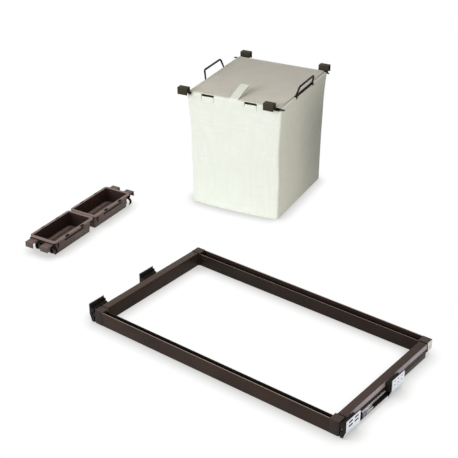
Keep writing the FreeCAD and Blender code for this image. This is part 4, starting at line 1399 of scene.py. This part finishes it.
def tray_sheet():
    """Rim, lip and basin as one sheet, thickened to the wall."""
    sheet = slab("tray", 0, tray_width, (-tray_length / 2, tray_length / 2),
                 (tray_depth - tray_lip, tray_depth))
    round_uprights(sheet, tray_corner, 8)
    pick(sheet, lambda face: face.normal.z < -0.9)
    bpy.ops.mesh.delete(type="FACE")
    done(sheet)
    pick(sheet, lambda face: face.normal.z > 0.9)
    bpy.ops.mesh.inset(thickness=tray_rim, depth=0)
    drop = (tray_depth - tray_wall) / tray_stages
    less = tray_taper / tray_stages
    for stage in range(tray_stages):
        bpy.ops.mesh.extrude_region_move(TRANSFORM_OT_translate={"value": (0, 0, -drop)})
        wide = basin_x - less * stage
        deep = basin_y - less * stage
        bpy.ops.transform.resize(value=((wide - less) / wide, (deep - less) / deep, 1))
    done(sheet)
    outward(sheet)
    return apply_modifier(sheet, "SOLIDIFY", thickness=tray_wall, offset=-1.0)


def sheet_finish(face):
    """Which tone a face gets: 0 outside, 1 rim painted lit, 2 basin wall in painted shade, 3 basin
    floor painted lit.
    """
    place, normal = face.center, face.normal
    inside = abs(place.x) < basin_x + 0.0005 and abs(place.y) < basin_y + 0.0005
    inward = place.x * normal.x + place.y * normal.y < 0 or normal.z > 0.5
    if inside and normal.z > 0.5 and place.z < tray_wall + 0.004:
        return 3
    rim_depth = 0.001 if inside else tray_lip + 0.0005
    if place.z > tray_depth - rim_depth and (normal.z > 0.3 or not inside):
        return 1
    return 2 if inside and inward else 0


print("basin", 2 * basin_x, "by", 2 * basin_y, "m")

# %% Tray details
tab_slot = (0.0058, 0.0168)
tab_place = (0.0495, 0.038)
floor_x = basin_x - tray_taper - tray_wall
floor_y = basin_y - tray_taper - tray_corner
step_width = 0.014
step_top = 0.007
dot_x = 0.012
dot_radius = 0.0026
dot_top = 0.0034
skirt_x = tray_width / 2 - tray_wall - 0.002
skirt_half = 0.078
skirt_z = (tray_depth - 0.0326, tray_depth - 0.0015)
slot_half = 0.05
slot_z = (tray_depth - 0.0161, tray_depth - 0.0111)
# A black plate behind each slot is a painted shadow, for the shade seen through it.
shadow_plate_half = 0.052
shadow_plate_z = (tray_depth - 0.0175, tray_depth - 0.0097)
shadow_plate_in = 0.0016


def tinted(piece, finish):
    """Give one part of a moulding its own finish."""
    piece.data.materials.append(finish)
    return piece


def tab_slots():
    """Cutters for the four slots in the rim that hold the dark tabs."""
    x, y = tab_place
    width, length = tab_slot
    return [slab("cut", x_side * x, width, (y_side * y - length / 2, y_side * y + length / 2),
                 (tray_depth - 0.006, tray_depth + overcut))
            for x_side in (-1, 1) for y_side in (-1, 1)]


def floor_parts():
    """The step along the floor's left side and a row of four dots."""
    step = block("step", (-floor_x - 0.001, -floor_y, 0.001),
                 (-floor_x + step_width, floor_y, step_top))
    parts = [soften(tinted(step, tray_rim_lit), 0.0012, 3)]
    for i in range(4):
        y = -floor_y + (i + 0.5) * floor_y / 2
        dot = rod("dot", (dot_x, y, 0.001), (dot_x, y, dot_top), dot_radius, 20)
        parts.append(soften(tinted(dot, tray_rim_lit), 0.0006, 2))
    return parts


def skirt_parts(side):
    """One slotted skirt, and a black plate behind its slot that stands in for the shade inside."""
    x = side * skirt_x
    skirt = slab("skirt", x, 0.002, (-skirt_half, skirt_half), skirt_z)
    carve(skirt, slab("cut", x, 0.02, (-slot_half, slot_half), slot_z))
    shadow_plate = slab("shadow_plate", x - side * shadow_plate_in, 0.0008, (-shadow_plate_half, shadow_plate_half), shadow_plate_z)
    return [soften(tinted(skirt, tray_taupe), 0.0005, 2), tinted(shadow_plate, black_plastic)]


print("tray details ready")

# %% Tray moulding
def tray_moulding(name, middle):
    """One tray with its slots, floor and skirts."""
    sheet = tray_sheet()
    carve(sheet, *tab_slots())
    soften(sheet, 0.0009, 3, 30.0)
    # The tray's painted light and shade: lit rim and floor, shaded basin walls.
    for finish in (tray_taupe, tray_rim_lit, tray_inner_shade, tray_floor_lit):
        tinted(sheet, finish)
    for face in sheet.data.polygons:
        face.material_index = sheet_finish(face)
    parts = [sheet, *floor_parts(), *skirt_parts(-1), *skirt_parts(1)]
    tray = on_tray_set(stand(joined(name + "_moulding", parts), (0, middle, 0)))
    return finished(tray, [], name + "_body", [name])


tray_moulding("front_tray", -tray_pitch / 2)
rear_tray = tray_moulding("rear_tray", tray_pitch / 2)
print("tray", len(rear_tray.data.polygons), "faces")

# %% [markdown]
# Tray hook plates
# Two taupe plates at each end lie over the rail and turn down outside it. Each could be
# bent from a flat sheet, but it is a moulding with one square corner: a block is carved to
# an L, its edges are softened, and two shallow ribs stiffen the top.

# %% Tray hooks
plate_top = 0.043
plate_wall = 0.0025
plate_lip = 0.015
plate_start = 0.202
plate_end = 0.229
plate_width = 0.03
plate_offset = 0.029
plate_rib = 0.0016
rib_offset = 0.009


def hook_plate(x):
    """One plate with its two ribs."""
    under = plate_top - plate_wall
    low = under - plate_lip
    plate = slab("plate", x, plate_width, (plate_start, plate_end + plate_wall), (low, plate_top))
    carve(plate, slab("cut", x, 2 * plate_width, (plate_start - overcut, plate_end),
                      (low - overcut, under)))
    parts = [soften(plate, 0.0009, 3)]
    for rib_x in (x - rib_offset, x + rib_offset):
        rib = slab("rib", rib_x, plate_rib, (plate_start + 0.003, plate_end - 0.003),
                   (plate_top - 0.0005, plate_top + 0.0006))
        parts.append(soften(rib, 0.0004, 2))
    return parts


def hook_plates(name, side):
    """Both plates of the front (-1) or rear (1) end, made at the rear."""
    plates = joined(name + "_moulding", hook_plate(-plate_offset) + hook_plate(plate_offset))
    if side < 0:
        mirror(plates, y=-1)
    return finished(on_tray_set(plates), [tray_hook_taupe], "tray_set", [name])


hook_plates("front_tray_hooks", -1)
hook_plates("rear_tray_hooks", 1)
print("tray hooks done")

# %% [markdown]
# For all other rays it is a plain pale floor. A broad low key light from the front left
# makes the basket's front its brightest side, a weaker warm one from the right fills the
# other side, and the sky does the rest. A dark board at the basket's right keeps some of
# the light away from that wall, as a studio flag does.

# %% Floor
contact_reach = 0.055
contact_grey = (0.62, 0.615, 0.605)


def studio_floor():
    """Pale floor that the camera and gloss see as white with soft contact shadows."""
    clear_selection()
    bpy.ops.mesh.primitive_plane_add(size=60.0, location=(0, 0, 0))
    floor = bpy.context.object
    floor.name = "studio_floor"
    made = Finish("floor_white", (0.82, 0.82, 0.82), 0.9)
    near_things = made.add("ShaderNodeAmbientOcclusion", {"Distance": contact_reach}, samples=24)
    shade = made.blend(made.span(near_things.outputs["AO"], 0.45, 0.92, 0, 1), contact_grey, (1, 1, 1))
    glow = made.add("ShaderNodeEmission", {"Color": shade, "Strength": 1.0})
    path = made.add("ShaderNodeLightPath")
    seen = made.math("MAXIMUM", path.outputs["Is Camera Ray"], path.outputs["Is Glossy Ray"])
    seen = made.math("MAXIMUM", seen, path.outputs["Is Transmission Ray"])
    mixed = made.add("ShaderNodeMixShader", {0: seen, 1: made.shader.outputs[0], 2: glow.outputs[0]})
    made.tree.links.new(mixed.outputs[0], made.tree.nodes["Material Output"].inputs["Surface"])
    floor.data.materials.append(made.material)
    return floor


floor = studio_floor()
print("floor", floor.dimensions.x, "m wide")

# %% Sky
sky_strength = 0.52
sky_warmth = (1, 0.945, 0.88, 1)


def sky():
    """White for the camera and for gloss, soft fill for the rest."""
    world = bpy.data.worlds.new("studio_sky")
    bpy.context.scene.world = world
    world.use_nodes = True
    tree = world.node_tree
    tree.nodes.clear()
    fill, white, path, seen, mix, out = (tree.nodes.new("ShaderNode" + kind) for kind in (
        "Background", "Background", "LightPath", "Math", "MixShader", "OutputWorld"))
    fill.inputs["Color"].default_value = sky_warmth
    fill.inputs["Strength"].default_value = sky_strength
    white.inputs["Strength"].default_value = 1.0
    seen.operation = "MAXIMUM"
    for source, target in (
        (path.outputs["Is Camera Ray"], seen.inputs[0]),
        (path.outputs["Is Glossy Ray"], seen.inputs[1]),
        (seen.outputs[0], mix.inputs[0]),
        (fill.outputs[0], mix.inputs[1]),
        (white.outputs[0], mix.inputs[2]),
        (mix.outputs[0], out.inputs["Surface"]),
    ):
        tree.links.new(source, target)


sky()
print("sky fill", sky_strength)

# %% Lamps
def sun(name, azimuth, elevation, strength, spread, color):
    """A soft distant lamp from a compass direction and height."""
    lamp = bpy.data.lights.new(name, "SUN")
    lamp.energy = strength
    lamp.angle = math.radians(spread)
    lamp.color = color
    holder = bpy.data.objects.new(name, lamp)
    bpy.context.scene.collection.objects.link(holder)
    a = math.radians(azimuth)
    e = math.radians(elevation)
    towards = Vector((math.sin(a) * math.cos(e), -math.cos(a) * math.cos(e), math.sin(e)))
    holder.rotation_euler = towards.to_track_quat("Z", "Y").to_euler()


sun("key_light", -14, 20, 1.9, 35, (0.93, 0.96, 1.0))
sun("side_fill", 78, 12, 0.7, 50, (1, 0.9, 0.76))
print("lamps set")

# %% Studio flag
flag_x = 0.42
flag_front = -0.04
flag_back = 0.45
flag_low = 0.06
flag_top = 0.42


def studio_flag():
    """A dark upright board beside the basket that no camera or gloss ray sees."""
    clear_selection()
    bpy.ops.mesh.primitive_plane_add(size=1.0)
    board = bpy.context.object
    board.name = "studio_flag"
    for vert in board.data.vertices:
        back = vert.co.y < 0
        low = vert.co.x < 0
        vert.co = (flag_x, flag_back if back else flag_front, flag_low if low else flag_top)
    on_basket(board)
    board.data.materials.append(Finish("flag_black", (0.02, 0.02, 0.02), 0.9).material)
    board.visible_camera = False
    board.visible_glossy = False
    return board


studio_flag()
print("flag set")

# %% [markdown]
# Camera
# The eye, aim and lens were fitted to the frame's corners in the photograph: 28.4 degrees
# down, 38.2 degrees round to the right, with a long lens. Moving the camera by eye could
# come near it, but only a fit shows whether the frame has its true proportions.

# %% Camera
camera_data = bpy.data.cameras.new("photo_camera")
camera_data.sensor_width = 36.0
camera_data.lens = 36.0 * 1133.0 / 458.0
camera = bpy.data.objects.new("photo_camera", camera_data)
bpy.context.scene.collection.objects.link(camera)
camera.location = (1.7949, -2.4823, 1.757)
camera.rotation_euler = (math.radians(90 - 28.4), 0, math.radians(38.2))
bpy.context.scene.camera = camera
bpy.context.scene.view_settings.view_transform = "Standard"
print("lens", round(camera_data.lens, 1), "mm")
